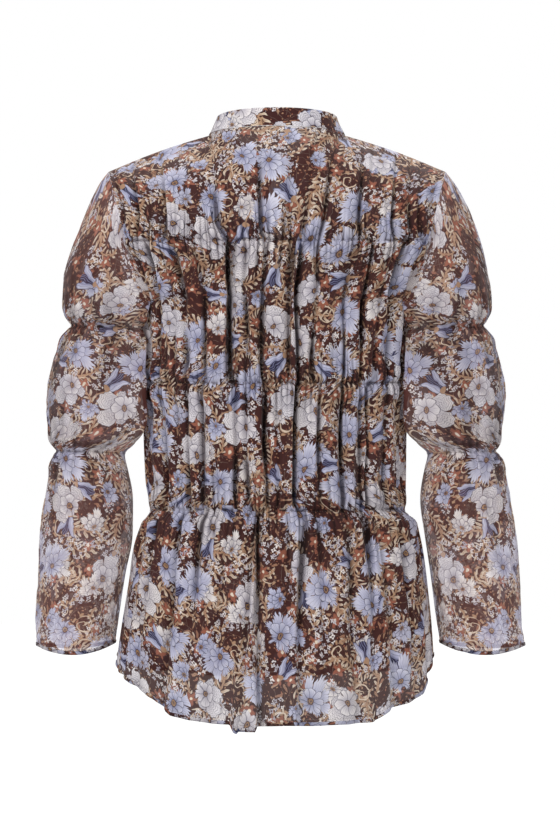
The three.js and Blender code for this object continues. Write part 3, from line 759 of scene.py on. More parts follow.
BACK_FOLDS = {
    "chest": [-0.93, -0.83, -0.7, -0.53, -0.38, -0.2, -0.11, -0.03,
              0.05, 0.12, 0.2, 0.34, 0.42, 0.56, 0.7, 0.83, 0.93],
    "tier": [-0.93, -0.83, -0.71, -0.51, -0.36, -0.22, -0.13, -0.05,
             0.03, 0.12, 0.21, 0.32, 0.42, 0.54, 0.69, 0.82, 0.93],
    "hem": [-0.93, -0.84, -0.69, -0.52, -0.4, -0.28, -0.17, -0.06,
            0.03, 0.11, 0.22, 0.33, 0.43, 0.56, 0.7, 0.83, 0.93],
    "deep": [3, 6, 9, 10, 9, 11, 7, 10, 6, 10, 7, 11, 8, 10, 8, 6, 3],
    "hem_deep": [3, 7, 6, 12, 4, 9, 11, 15, 4, 10, 5, 12, 5, 11, 6, 8, 3],
}
BACK_HEM = {
    "angle": [-1, -0.87, -0.75, -0.67, -0.6, -0.55, -0.5, -0.45, -0.36, -0.28, -0.187, -0.177, -0.085,
              -0.075, 0.1, 0.3, 0.42, 0.48, 0.54, 0.6, 0.7, 0.76, 0.84, 0.92, 1],
    "z": [-564, -574, -583, -590, -597, -603, -613, -621, -626, -628.5, -630, -637.5, -637.5,
          -631.5, -631, -630, -627, -619, -612, -608, -603, -598, -573, -561, -556],
}
BACK_SHADE = 0.12
FOLD_SHARE = {
    "z": [-640, -480, -415, -396, -380, -330, -275, -256, -235, -150, -112, -99, -85, -40, 0],
    "share": [1.1, 1, 0.8, 0.45, 0.9, 1, 0.95, 0.6, 0.95, 1, 0.85, 0.45, 0.85, 0.55, 0.2],
}
COLUMNS_PER_FOLD = 22
TIER_END = -408
TIER_DRIFT = 60
TIER_LEVELS = [HIP_LINE - 5, HIP_LINE + 5, WAIST_LINE - 5, WAIST_LINE + 5, CHEST_LINE - 5, CHEST_LINE + 5]
TIER_AT_LEVEL = [0, 1, 1, 2, 2, 3]
TIER_STRENGTH = ([0.5, 0.6, 0.6, 0.6], [1.1, 1.4, 1.4, 1.2])
TIER_SHIFT = 6
HEM_STRENGTH = 0.5
FOLD_WIDTH, FOLD_WIDTH_SPREAD, FOLD_WANDER = 3.1, 0.9, 2.2
GATHER_SPACING, GATHER_DEPTH, GATHER_WIDTH, GATHER_REACH = 6, (1.5, 3.7), (1.8, 2.5), (9, 105)
CRINKLES = (
    {"seed": 40, "high": 0.5, "across": 7, "down": 16},
    {"seed": 41, "high": 0.28, "across": 3.2, "down": 4},
    {"seed": 42, "high": 1.3, "across": 19, "down": 55},
)
YOKE_ROWS, PEPLUM_ROWS = 40, 70
CALM_COLUMNS = 12
MOST_FOLD_SHADE = 0.9


def level_steps():
    """Row levels from the chest line to below the hip line, closer together beside the elastic."""
    levels = [CHEST_LINE]
    while levels[-1] > TIER_END:
        near = min(abs(levels[-1] - line) for line in ELASTIC_LINES)
        levels.append(levels[-1] - (1.5 + 1.7 * smooth_step(6, 26, near)))
    levels[-1] = TIER_END
    return np.array(levels)


def fold_columns(folds, middle=()):
    """Each column's angle at the chest line, the tiers and the hem. Every valley has a column of its own."""
    ends = {"deep": 0, "hem_deep": 0}
    marks = {}
    for name, values in folds.items():
        end = ends.get(name, 1)
        half = len(values) // 2
        extra = [ends.get(name, angle) for angle in middle]
        marks[name] = np.array([-end, *values[:half], *extra, *values[half:], end], float)
    count = (len(marks["chest"]) - 1) * COLUMNS_PER_FOLD
    place = np.arange(count + 1) / COLUMNS_PER_FOLD
    order = np.arange(len(marks["chest"]))
    return {name: np.interp(place, order, marks[name]) for name in ("chest", "tier", "hem")}, marks


def smooth_panel(facing, angles, hem):
    """The panel without folds, row by row from the neck and shoulder down to the hem."""
    rises = np.concatenate([[1, 0.99], np.linspace(0.975, 0.08, YOKE_ROWS), [0.055, 0.035, 0.015]])
    chest = np.broadcast_to(angles["chest"], (len(rises), len(angles["chest"])))
    yoke = yoke_point(facing, chest, np.broadcast_to(rises[:, None], chest.shape))
    loose = yoke.copy()
    for _ in range(360):
        loose[:, 1:-1] = (loose[:, :-2] + 2 * loose[:, 1:-1] + loose[:, 2:]) / 4
    held = smooth_step(0, 0.16, 1 - rises) * smooth_step(0, 0.14, rises)
    yoke += (loose - yoke) * held[:, None, None]
    z = level_steps()[:, None]
    drift = smooth_step(0, TIER_DRIFT, CHEST_LINE - z)
    tier_angle = angles["chest"] * (1 - drift) + angles["tier"] * drift
    tier = section_point(facing, *np.broadcast_arrays(tier_angle, z))
    fall = np.linspace(0, 1, PEPLUM_ROWS)[1:, None] ** 0.95
    hem_z = np.interp(angles["hem"], hem["angle"], hem["z"])
    angle = angles["tier"] * (1 - fall) + angles["hem"] * fall
    peplum = section_point(facing, angle, TIER_END + (hem_z - TIER_END) * fall)
    falls = np.concatenate([np.zeros(len(rises) + len(z)), fall[:, 0]])
    return np.concatenate([yoke, tier, peplum]), falls, len(rises)


def long_folds(relief, marks, seed, random, across, down, z, falls):
    """Folds that run down the panel. Each elastic line shifts them a little and weakens or deepens them."""
    share = np.interp(z, FOLD_SHARE["z"], FOLD_SHARE["share"])
    for k in range(1, len(marks["chest"]) - 1):
        depth = (marks["deep"][k] * (1 - falls) + marks["hem_deep"][k] * falls) * share
        shifts = random.uniform(-TIER_SHIFT, TIER_SHIFT, 4)[TIER_AT_LEVEL]
        shift = np.interp(z, TIER_LEVELS, shifts) * (1 - falls)
        apart = across - across[:, [k * COLUMNS_PER_FOLD]] - shift
        apart = apart + FOLD_WANDER * uneven(seed + k + 20, down[:, [0]] / 90)
        width = FOLD_WIDTH + FOLD_WIDTH_SPREAD * uneven(seed + k, down[:, [0]] / 60)
        width = width * (1 + 1.2 * falls)
        strength = np.interp(z, TIER_LEVELS, random.uniform(*TIER_STRENGTH)[TIER_AT_LEVEL])
        strength = strength * (0.8 + 0.4 * uneven(seed + k + 80, down[:, [0]] / 45))
        depth = depth * (strength * (1 - falls) + HEM_STRENGTH * falls)
        relief["sink"] += depth * (1.3 * bell(apart, width, 1.8) + 0.14 * bell(apart, 3.5 * width))
        overlap = (0.5 + 0.3 * uneven(seed + k + 60, down[:, [0]] / 90)) * random.choice([-1, 1])
        relief["lean"] += overlap * depth * bell(apart, 1.6 * width)
        # Painted shade in the valleys of the deeper folds: a dark core with a softer fall-off round it,
        # fading towards the hem.
        shaded = smooth_step(1, 8, depth) * (1 - 0.8 * smooth_step(0, 0.7, falls))
        relief["fold_shade"] += 1.1 * shaded * bell(apart, 0.6 * width, 3)
        relief["fold_shade"] += 0.35 * shaded * bell(apart, 1.7 * width)


def gathers(relief, line, seed, random, across, z):
    """Small gathers that run up and down from an elastic line, and the ruffle and puckers along it."""
    row = int(np.argmin(np.abs(z[:, z.shape[1] // 2] - line)))
    away = np.abs(z - line)
    place = across[row, 0] + 4
    while place < across[row, -1] - 4:
        column = int(np.argmin(np.abs(across[row] - place)))
        deep = random.uniform(*GATHER_DEPTH)
        up, under = random.uniform(0.25, 1, 2) ** 2.2 * GATHER_REACH[1] + GATHER_REACH[0]
        width = random.uniform(*GATHER_WIDTH) * (1 + away / 50)
        apart = across - across[:, [column]]
        fade = bell(away, np.where(z > line, up, under), 1.6) * (0.55 + 0.45 * smooth_step(0, 9, away))
        near = np.abs(apart) < 3 * width
        gather = np.where(near, bell(apart, width), 0) * deep * fade
        relief["sink"] += gather * (1 + 0.7 * smooth_step(8, 30, away))
        relief["lean"] += gather * random.uniform(-0.6, 0.6)
        # Painted shade in the crease of each gather.
        crease = np.where(near, bell(apart, 0.45 * width), 0)
        relief["fold_shade"] += crease * 0.4 * deep * fade * np.exp(-away / 45)
        place += GATHER_SPACING * random.uniform(0.7, 1.35)
    ruffle = uneven(seed + 44, across / 2.1, z / 9)
    beside = smooth_step(1, 4, away)
    relief["sink"] += (2.8 + 1.4 * ruffle) * bell(away, 2.6) - 3.0 * bell(away - 13, 10)
    relief["sink"] += 1.7 * ruffle * beside * bell(away, 9)
    # Painted shade in the puckers along the elastic line and beside its ruffle.
    pucker = smooth_step(-0.35, 0.45, uneven(seed + 45, across / 3.1, z / 3))
    relief["fold_shade"] += 1.1 * pucker * bell(away, 1.7)
    relief["fold_shade"] += 0.35 * smooth_step(0.1, 0.6, ruffle) * beside * bell(away, 8)


def folded_panel(facing, folds, hem, seed, middle=()):
    """The panel's grid of points with its long folds, the gathers at each elastic line and the crinkle."""
    angles, marks = fold_columns(folds, middle)
    smooth, falls, yoke_rows = smooth_panel(facing, angles, hem)
    outward = outward_of(smooth) * -facing
    outward[yoke_rows:, :, 2] = 0
    outward = unit(outward)
    sideways = unit(np.gradient(smooth, axis=1))
    across, down = cloth_lengths(smooth)
    across -= across[:, [across.shape[1] // 2]]
    z = smooth[..., 2]
    random = np.random.default_rng(seed)
    relief = {name: np.zeros_like(z) for name in ("sink", "lean", "fold_shade")}
    long_folds(relief, marks, seed, random, across, down, z, falls[:, None])
    for line in ELASTIC_LINES:
        gathers(relief, line, seed, random, across, z)
    for crinkle in CRINKLES:
        rise = uneven(seed + crinkle["seed"], across / crinkle["across"], down / crinkle["down"])
        relief["sink"] += crinkle["high"] * rise
    columns = np.arange(z.shape[1])
    edge = np.minimum(columns, columns[::-1]) / CALM_COLUMNS
    calm = smooth_step(0, 1, edge)[None, :] * smooth_step(0, 14, down)
    grid = smooth - outward * (relief["sink"] * calm)[..., None]
    grid += sideways * (relief["lean"] * calm)[..., None]
    grid[..., 2] += (1.6 * uneven(seed + 43, across / 38, down / 90)) * calm * smooth_step(0, 60, down)
    at_side = smooth[:, 0, 2] <= ARMPIT_Z + 1
    for column in (0, -1):
        grid[at_side, column, 1] = facing * SEAM_GAP / 2
    at_shoulder = np.abs(angles["chest"]) >= FAN["angle"][2]
    grid[0, at_shoulder, 1] = facing * SEAM_GAP / 2
    flat_across, _ = cloth_lengths(grid)
    flat_across = spread(flat_across - flat_across[:, [flat_across.shape[1] // 2]], PRINT_EVENING)
    flat_down = down - down[yoke_rows]
    flat_down = flat_down.mean(1, keepdims=True) * 0.6 + flat_down * 0.4
    return grid, flat_across, flat_down, np.clip(relief["fold_shade"] * calm, 0, MOST_FOLD_SHADE), angles


back_grid, back_across, back_down, back_fold_shade, _ = folded_panel(-1, BACK_FOLDS, BACK_HEM, seed=11)
# Painted shade: the whole outside of the back is darkened a little, and made a little less sheer, as by a
# shallow fold everywhere.
back_fold_shade = np.maximum(back_fold_shade, BACK_SHADE)
back = cloth_piece("back_panel", back_grid, back_across, back_down, back_fold_shade, cover=0.86)
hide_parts("back")


# The front
# Cut as the back is, but shorter and with a flatter hem. At the centre of the neck it is slit down to just
# below the first elastic line, so that the head passes through, and the slit is edged with a narrow binding.
FRONT_FOLD_ANGLES = (0.08, 0.2, 0.33, 0.47, 0.62, 0.78, 0.91)
FRONT_ANGLES = [-angle for angle in reversed(FRONT_FOLD_ANGLES)] + list(FRONT_FOLD_ANGLES)
FRONT_DEPTHS = [6, 9, 6, 9, 6, 9, 6] * 2
FRONT_FOLDS = {
    "chest": FRONT_ANGLES,
    "tier": FRONT_ANGLES,
    "hem": [angle * 1.01 for angle in FRONT_ANGLES],
    "deep": FRONT_DEPTHS,
    "hem_deep": [deep + 2 for deep in FRONT_DEPTHS],
}
FRONT_HEM = {"angle": [-1, -0.6, 0, 0.6, 1], "z": [-556, -571, -583, -571, -556]}
SLIT_END, SLIT_HALF_ANGLE = -136, 0.0115

front_grid, front_across, front_down, front_fold_shade, front_angles = folded_panel(
    1, FRONT_FOLDS, FRONT_HEM, seed=71, middle=(-SLIT_HALF_ANGLE, SLIT_HALF_ANGLE)
)


def in_slit(row, column):
    middle = np.abs(front_angles["chest"][column] + front_angles["chest"][column + 1]) < 2 * SLIT_HALF_ANGLE
    return middle & (front_grid[row + 1, column, 2] > SLIT_END)


front = cloth_piece(
    "front_panel", front_grid, front_across, front_down, front_fold_shade, cover=0.95, skip=in_slit, turned=True
)
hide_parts("front")


# The sleeves
# Each is one tube of georgette, sewn into the armhole, with its seam below. Two lines of elastic divide it
# into two puffs and a flared cuff that hangs open. Near the elastic the cloth is packed into fine gathers.
SLEEVE = {
    "z_out": [-24, -31, -53, -82, -110, -139, -160, -179, -193, -208, -233, -269, -300, -320, -331, -350,
              -383, -423, -467, -512, -545],
    "out_left": [185, 191.6, 204, 216.5, 227.5, 236.5, 237.6, 233.8, 227.5, 236.5, 247.5, 254.7, 253.6,
                 248.2, 244.8, 250, 256.3, 260.7, 263.5, 265.7, 265],
    "out_right": [185, 191.6, 205.5, 218, 227.5, 234, 236.5, 233, 228.5, 237, 245.5, 252, 249.7, 244.5, 242,
                  249.7, 257.4, 262.9, 266.8, 269.6, 272.3],
    "z_in": [-165, -168, -171.5, -175, -179, -183, -187, -192, -198, -210, -233, -269, -302, -323, -334,
             -352, -384, -423, -467, -510, -542],
    "in_left": [150, 152.2, 151.5, 151, 151, 151, 151, 151.5, 153.5, 151, 149, 148, 149.5, 156, 167.8, 164,
                158.4, 158.8, 167, 173.5, 178],
    "in_right": [150, 152.2, 151, 150.5, 150, 149.5, 149, 149.5, 152, 149, 146, 144, 146, 154, 166, 162,
                 157.4, 162.5, 169, 174.5, 179.5],
    "deep": [55, 59, 61, 62, 62, 61, 57, 49, 42, 48, 54, 57, 54, 47, 41, 46, 52, 56, 58, 59, 58],
    "ahead": [-2.5, -2, -1, 0, 1, 2, 3, 4, 5, 6, 7, 9, 11, 12, 13, 14, 16, 18, 20, 22, 24],
}
SLEEVE_ELASTIC_RINGS = (8, 14)
SLEEVE_CLEAR = 1.2
SLEEVE_TUCK = {"from": -163, "full": -172, "last": -308, "end": -328, "ring": -205}
SLEEVE_TUCK |= {"turn": 2.28, "width": 0.85, "deep": 30}
SLEEVE_HEM_SAG = {"back": 11, "front": 5}
SLEEVE_COLUMNS = 264
SLEEVE_ROW_STEP, SLEEVE_ELASTIC_STEP = 2.1, 1.3
SLEEVE_GATHER = {"reach": (8, 74), "width": (2.4, 3.6), "deep": (1.4, 3.3), "apart": (0.11, 0.22)}
SLEEVE_FOLD = {"count": 9, "reach": (28, 62), "width": (5, 9), "deep": (1.5, 3.6)}


def body_side(side, y, z):
    """How far the body reaches sideways at a depth and a level below the armpit."""
    deep = np.where(y < 0, eased(BODY["z"], BODY["back"], z), eased(BODY["z"], BODY["front"], z))
    cosine = np.minimum(np.abs(y) / deep, 1) ** (1 / SECTION_ROUNDNESS)
    half = eased(BODY["z"], BODY["left" if side < 0 else "right"], z)
    bulge = 3 * bell(np.abs(z - WAIST_LINE) - 13, 10)
    return np.where(z > ARMPIT_Z, 0, half * np.sqrt(1 - cosine**2) + bulge)


def armhole_ring(side, turn):
    """The armhole all round, the way out of the garment there, and how far each point is from the top."""
    down = np.minimum(turn, FULL_TURN - turn)
    ring = armhole(side, -1, down)
    ring[..., 1] *= np.where(turn < math.pi, 1, -ARMHOLE_REACH[1] / ARMHOLE_REACH[-1])
    return ring, unit(np.array([side * (SHOULDER_Z - ARMPIT_Z), 0, ARMPIT_X - SHOULDER_X], float)), down


def sleeve_tube(side, ring, turn):
    """The smooth tube. Turn 0 is its outer side, a quarter turn behind, pi its inner side by the body."""
    order = np.arange(len(SLEEVE["z_out"]))
    free = np.maximum(ring, 1)
    read = {name: eased(order, values, free) for name, values in SLEEVE.items()}
    out, inner = (read["out_left"], read["in_left"]) if side < 0 else (read["out_right"], read["in_right"])
    across, behind = (np.cos(turn) + 1) / 2, np.sin(turn)
    y = read["ahead"] - read["deep"] * behind
    tuck = SLEEVE_TUCK
    level = smooth_step(-tuck["from"], -tuck["full"], -read["z_in"])
    level = level * (1 - smooth_step(-tuck["last"], -tuck["end"], -read["z_in"]))
    at_ring = bell(read["z_in"] - tuck["ring"], 18)
    near = 1 - np.abs(turn - tuck["turn"] + 0.1 * at_ring) / (tuck["width"] + 0.15 * at_ring)
    sunk = tuck["deep"] * (1 + 0.5 * at_ring) * level * smooth_step(0, 1, np.maximum(near, 0))
    x = inner + (out - inner) * across - sunk
    sag = np.where(behind > 0, SLEEVE_HEM_SAG["back"], SLEEVE_HEM_SAG["front"]) * behind**2
    sag = sag * smooth_step(order[-2], order[-1], free) ** 2
    z = read["z_in"] + (read["z_out"] - read["z_in"]) * across - sag
    x = np.maximum(x, body_side(side, y, z) + SLEEVE_CLEAR)
    tube = np.stack([side * x, y, z], -1)
    head, outside, down = armhole_ring(side, turn)
    clear = SEAM_GAP + HALF_CLOTH * smooth_step(QUARTER * 0.9, QUARTER * 1.6, down)
    head += outside * clear[..., None]
    joined = np.clip(ring, 0, 1)[..., None]
    return head + (tube - head) * joined


def sleeve_rows(side):
    """Ring numbers spaced evenly down the sleeve, and closer together beside its elastic lines."""
    ring = np.linspace(0, len(SLEEVE["z_out"]) - 1, 2000)
    line = sleeve_tube(side, ring, np.full_like(ring, QUARTER))
    length = np.concatenate([[0], np.cumsum(np.linalg.norm(np.diff(line, axis=0), axis=-1))])
    lines = np.interp(SLEEVE_ELASTIC_RINGS, ring, length)
    places = [0.0]
    while places[-1] < length[-1]:
        wider = float(smooth_step(6, 24, np.abs(lines - places[-1]).min()))
        places.append(places[-1] + SLEEVE_ELASTIC_STEP + (SLEEVE_ROW_STEP - SLEEVE_ELASTIC_STEP) * wider)
    places = np.array(places) * length[-1] / places[-1]
    return np.interp(places, length, ring), places, lines


def gathered_sleeve(side, seed):
    """The sleeve's grid of points with fine gathers at its elastic and soft slanting folds in its puffs."""
    rings, places, lines = sleeve_rows(side)
    turns = np.arange(SLEEVE_COLUMNS) / SLEEVE_COLUMNS * FULL_TURN
    ring, turn = np.meshgrid(rings, turns, indexing="ij")
    smooth = spread(sleeve_tube(side, ring, turn), 12)
    outward = outward_of(smooth, closed=True) * -side
    sideways = unit(np.roll(smooth, -1, 1) - np.roll(smooth, 1, 1))
    girth = np.linalg.norm(smooth - np.roll(smooth, -1, 1), axis=-1).sum(1).mean()
    down = np.broadcast_to(places[:, None], ring.shape)
    random = np.random.default_rng(seed)
    sink, lean, fold_shade = np.zeros_like(ring), np.zeros_like(ring), np.zeros_like(ring)

    def apart_from(centre):
        return ((turn - centre + math.pi) % FULL_TURN - math.pi) / FULL_TURN * girth

    for line in lines:
        away = np.abs(down - line)
        centre = random.uniform(0, 0.1)
        while centre < FULL_TURN - 0.1:
            least, most = SLEEVE_GATHER["reach"]
            up, under = random.uniform(0.2, 1, 2) ** 2 * most + least
            width = random.uniform(*SLEEVE_GATHER["width"]) * (1 + away / 42)
            apart = apart_from(centre) - random.uniform(-0.09, 0.09) * away
            fade = bell(away, np.where(down < line, up, under), 1.5) * (0.5 + 0.5 * smooth_step(0, 10, away))
            gather = bell(apart, width) * random.uniform(*SLEEVE_GATHER["deep"]) * fade
            sink += gather
            lean += gather * random.uniform(-0.5, 0.5)
            # Painted shade in the gathers.
            fold_shade += 0.24 * gather
            centre += random.uniform(*SLEEVE_GATHER["apart"])
        sink += 2.2 * bell(away, 2.4) - 3.2 * bell(away - 15, 11)
        # Painted shade in the puckers along the elastic.
        pucker = smooth_step(-0.35, 0.45, uneven(seed + 3, turn * 15, down / 3))
        fold_shade += 0.7 * pucker * bell(away, 2)
    starts = [0, *lines, places[-1]]
    for top, bottom in zip(starts[:-1], starts[1:]):
        for _ in range(SLEEVE_FOLD["count"]):
            centre = random.uniform(0, FULL_TURN)
            middle = random.uniform(top, bottom)
            reach = random.uniform(*SLEEVE_FOLD["reach"])
            apart = apart_from(centre) - random.uniform(-0.35, 0.35) * (down - middle)
            width = random.uniform(*SLEEVE_FOLD["width"])
            fold = np.exp(-((apart / width) ** 2) - ((down - middle) / reach) ** 2)
            sink += fold * random.uniform(*SLEEVE_FOLD["deep"])
            lean += fold * random.uniform(-1, 1)
            # Painted shade in the slanting folds.
            fold_shade += 0.3 * fold**3
    around = turn / FULL_TURN * 96
    sink += 0.9 * uneven(seed + 1, around / 6, down / 30) + 0.35 * uneven(seed + 2, around / 2, down / 7)
    free = smooth_step(-0.8, -0.3, np.cos(turn)) * smooth_step(0, 16, down)
    grid = smooth - outward * (sink * free)[..., None] + sideways * (lean * free)[..., None]
    body = body_side(side, grid[..., 1], grid[..., 2]) + SLEEVE_CLEAR
    beside = grid[..., 2] < ARMPIT_Z
    grid[..., 0] = side * np.where(beside, np.maximum(side * grid[..., 0], body), side * grid[..., 0])
    flat_across, _ = cloth_lengths(grid, closed=True)
    flat_across = spread(flat_across - flat_across[:, -1:] / 2, PRINT_EVENING)
    return grid, flat_across, down.copy(), np.clip(fold_shade * free, 0, 1)


_, row_places, elastic_places = sleeve_rows(-1)
sleeve_elastic_rows = [int(np.argmin(np.abs(row_places - place))) for place in elastic_places]
sleeves, sleeve_grids, sleeve_flat = {}, {}, {}
for name, side, seed in (("left", -1, 131), ("right", 1, 173)):
    grid, flat_across, flat_down, fold_shade = gathered_sleeve(side, seed)
    sleeve_grids[name], sleeve_flat[name] = grid, flat_across
    sleeves[name] = cloth_piece(
        f"sleeve_{name}_tube", grid, flat_across, flat_down, fold_shade, cover=0.61, closed=True, turned=side > 0
    )
    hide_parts(f"sleeve_{name}")


# The collar
# A stand collar about 20 mm high: a strip of the same cloth, folded along its top edge and sewn into the
# neck, so that it is two layers thick and nearly opaque. It is open at the slit in the front.
COLLAR_TALL, COLLAR_LEAN = 20, 9
COLLAR_HALF = 1.0
COLLAR_COLUMNS = 360
COLLAR_ON_PRINT = 545


def collar_turns():
    end = 2 - np.interp(SLIT_HALF_ANGLE, FAN["angle"], FAN["top"])
    return np.linspace(-end, end, COLLAR_COLUMNS) * QUARTER


def collar_point(turn, rise, out):
    """A point of the band: rise 0 is the seam and 1 the top fold, out is the distance from its middle."""
    neck = neck_point(turn)
    normal = unit(np.stack([np.sin(turn), -np.cos(turn), np.full_like(turn, 0.75)], -1))
    up = unit(np.array([0, 0, 1.0]) - normal * normal[..., 2:])
    level = np.stack([np.sin(turn), -np.cos(turn), np.zeros_like(turn)], -1)
    lean = COLLAR_LEAN * rise * (1.25 - 0.25 * rise)
    point = neck + up * SEAM_GAP - level * lean[..., None]
    point[..., 2] += COLLAR_TALL * rise
    return point + level * out[..., None]


profile = [(rise, COLLAR_HALF) for rise in np.linspace(0, 0.93, 12)]
profile += [(0.97, 0.86 * COLLAR_HALF), (0.993, 0.5 * COLLAR_HALF), (1, 0), (0.993, -0.5 * COLLAR_HALF)]
profile += [(0.97, -0.86 * COLLAR_HALF)] + [(rise, -COLLAR_HALF) for rise in np.linspace(0.93, 0, 12)]
rise, turn = np.meshgrid([step[0] for step in profile], collar_turns(), indexing="ij")
out = np.broadcast_to(np.array([step[1] for step in profile])[:, None], rise.shape)
along = turn / math.pi * 2 * 100
slack = 0.45 * uneven(301, along / 13, rise * 1.5) + 0.22 * uneven(302, along / 4, rise * 3)
collar_grid = collar_point(turn, rise, out + slack * np.sin(rise * math.pi * 0.9))
collar_across, collar_down = cloth_lengths(collar_grid)
collar_across += COLLAR_ON_PRINT - collar_across[:, [COLLAR_COLUMNS // 2]]
collar = cloth_piece("collar_band", collar_grid[::-1], collar_across[::-1], collar_down[::-1], 0, cover=0.97)
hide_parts("collar")


# Hems, binding and seams
# Hems are rolled narrow and stitched down, and the slit is bound with a strip of the same cloth. Inside, the
# pieces are joined with overlocked seams, whose allowances stand a few millimetres into the garment.
ROLL = {"tall": 4.2, "thick": 0.95, "steps": 10}
BINDING_WIDE = 5
ALLOWANCE = {"wide": 8, "thick": 0.5, "cover": 0.9}
SIDE_SEAM = (ARMPIT_Z - 8, -548)
ARMHOLE_ROUND = 410


def strip(name, middle, along_cloth, off_cloth, wide, thick, flat, closed=False, cover=0.97):
    """A narrow strip, folded round an edge: a flattened tube that lies along a line of points."""
    turns = np.arange(ROLL["steps"] + 1) / ROLL["steps"] * FULL_TURN
    wide_way, thick_way = along_cloth * (wide / 2), off_cloth * thick
    grid = np.stack([middle + wide_way * math.cos(turn) + thick_way * math.sin(turn) for turn in turns])
    flat_across = np.broadcast_to(flat, (len(turns), len(flat)))
    flat_down = np.broadcast_to((wide / 2 * np.cos(turns))[:, None], (len(turns), grid.shape[1]))
    # Painted shade: every strip is darkened a little all over through a painted fold shade of 0.25.
    piece = cloth_piece(name, grid, flat_across, flat_down, 0.25, cover, closed=closed)
    make_outward(piece)
    return piece


def make_outward(piece):
    """Joins the tube's first and last rows and turns its faces outwards."""
    work = bmesh.new()
    work.from_mesh(piece.data)
    bmesh.ops.remove_doubles(work, verts=work.verts, dist=1e-6)
    bmesh.ops.recalc_face_normals(work, faces=work.faces)
    work.to_mesh(piece.data)
    work.free()


def cloth_frame(grid, row, step, closed=False):
    """At a row: the unit way up the cloth towards the row "step" away, and the unit way off the cloth."""
    up = unit(grid[row + step] - grid[row])
    if closed:
        run = np.roll(grid[row], -1, 0) - np.roll(grid[row], 1, 0)
    else:
        run = np.gradient(grid[row], axis=0)
    return up, unit(np.cross(up, run))


def evened(values, closed, passes=14):
    """Smooths a row of directions along the hem, so that its tube doesn't kink in a sharp fold."""
    for _ in range(passes):
        before, after = np.roll(values, 1, 0), np.roll(values, -1, 0)
        if not closed:
            before[0], after[-1] = values[0], values[-1]
        values = (before + 2 * values + after) / 4
    return unit(values)


def rolled_hem(name, grid, flat_across, closed=False):
    up, off = cloth_frame(grid, -1, -3, closed)
    up, off = evened(up, closed), evened(off, closed)
    middle = grid[-1] + up * (ROLL["tall"] / 2 - HALF_CLOTH)
    return strip(name, middle, up, off, ROLL["tall"], ROLL["thick"], flat_across[-1], closed)


back_hem = rolled_hem("hem_back", back_grid, back_across)
front_hem = rolled_hem("hem_front", front_grid, front_across)
for name, grid in sleeve_grids.items():
    rolled_hem(f"hem_sleeve_{name}", grid, sleeve_flat[name], closed=True)

slit_columns = [
    int(np.argmin(np.abs(front_angles["chest"] - angle))) for angle in (-SLIT_HALF_ANGLE, SLIT_HALF_ANGLE)
]
slit_rows = np.arange(1, int(np.argmin(np.abs(front_grid[:, slit_columns[0], 2] - SLIT_END))) + 1)
for name, column, outside in (("left", slit_columns[0], -1), ("right", slit_columns[1], 1)):
    edge = front_grid[slit_rows, column]
    run = unit(np.gradient(edge, axis=0))
    aside = unit(np.array([outside, 0, 0]) - run * run[:, :1] * outside)
    middle = edge + aside * (BINDING_WIDE / 2 - 1)
    flat = front_down[slit_rows, column]
    strip(f"binding_{name}", middle, aside, np.cross(run, aside), BINDING_WIDE, 0.9, flat)

for name, side in (("left", -1), ("right", 1)):
    turns = np.linspace(0, FULL_TURN, 200, endpoint=False)
    ring, outside, _ = armhole_ring(side, turns)
    into = unit(ring.mean(0) - ring) * 0.8 - outside * 0.6
    off = unit(np.cross(into, np.gradient(ring, axis=0)))
    middle = ring + into * (ALLOWANCE["wide"] / 2 + 1.2)
    flat = np.linspace(0, ARMHOLE_ROUND, len(turns) + 1)
    runs = {"armhole": (middle, into, off, flat, True)}
    levels = np.linspace(*SIDE_SEAM, 120)
    edge = section_point(-1, np.full_like(levels, side), levels) * [1, 0, 1]
    runs["side"] = (edge, np.array([-side, 0.0, 0.0]), np.array([0, 1.0, 0.0]), levels, False)
    tops = np.linspace(1.04, 1.97, 60)
    over = top_point(-1, side * np.interp(tops, FAN["top"], FAN["angle"]))[0]
    runs["shoulder"] = (over, np.array([0, 0.0, -1.0]), np.array([0, 1.0, 0.0]), tops * 111, False)
    for kind, (middle, into, off, flat, closed) in runs.items():
        if not closed:
            middle = middle + into * (ALLOWANCE["wide"] / 2 + 1)
        seam = strip(f"seam_{kind}_{name}", middle, into, off, **ALLOWANCE, flat=flat, closed=closed)


# The stitching
# One row of small lockstitches holds each hem. The elastic lines are sewn with plain thread outside and with
# elastic thread in the bobbin, which runs along the inside as one thin cord.
STITCH = {"long": 2.0, "thick": 0.42, "pitch": 3.0}
ELASTIC_THREAD = 0.42
STITCH_LIFT, ELASTIC_SINK = 0.25, 0.55


def thread_material(name, colour):
    """A twisted thread, with painted shade between its plies."""
    material = bpy.data.materials.new(name)
    material.use_nodes = True
    thread = Nodes(material.node_tree)
    place = {"Vector": thread.out(thread.node("ShaderNodeTexCoord"), "Object"), "Scale": 900}
    twist_and_shade = thread.out(thread.node("ShaderNodeTexWave", place, bands_direction="DIAGONAL"), "Fac")
    surface = {
        # Painted shade between the plies; the same twist also bumps the surface.
        "Base Color": thread.blend(twist_and_shade, tuple(0.55 * c for c in colour), colour),
        "Normal": thread.bumped(twist_and_shade, 0.4, 0.05),
        "Roughness": 0.6,
        "Sheen Weight": 0.3,
    }
    for title, value in surface.items():
        feed(thread.tree.nodes["Principled BSDF"].inputs[title], value)
    return material


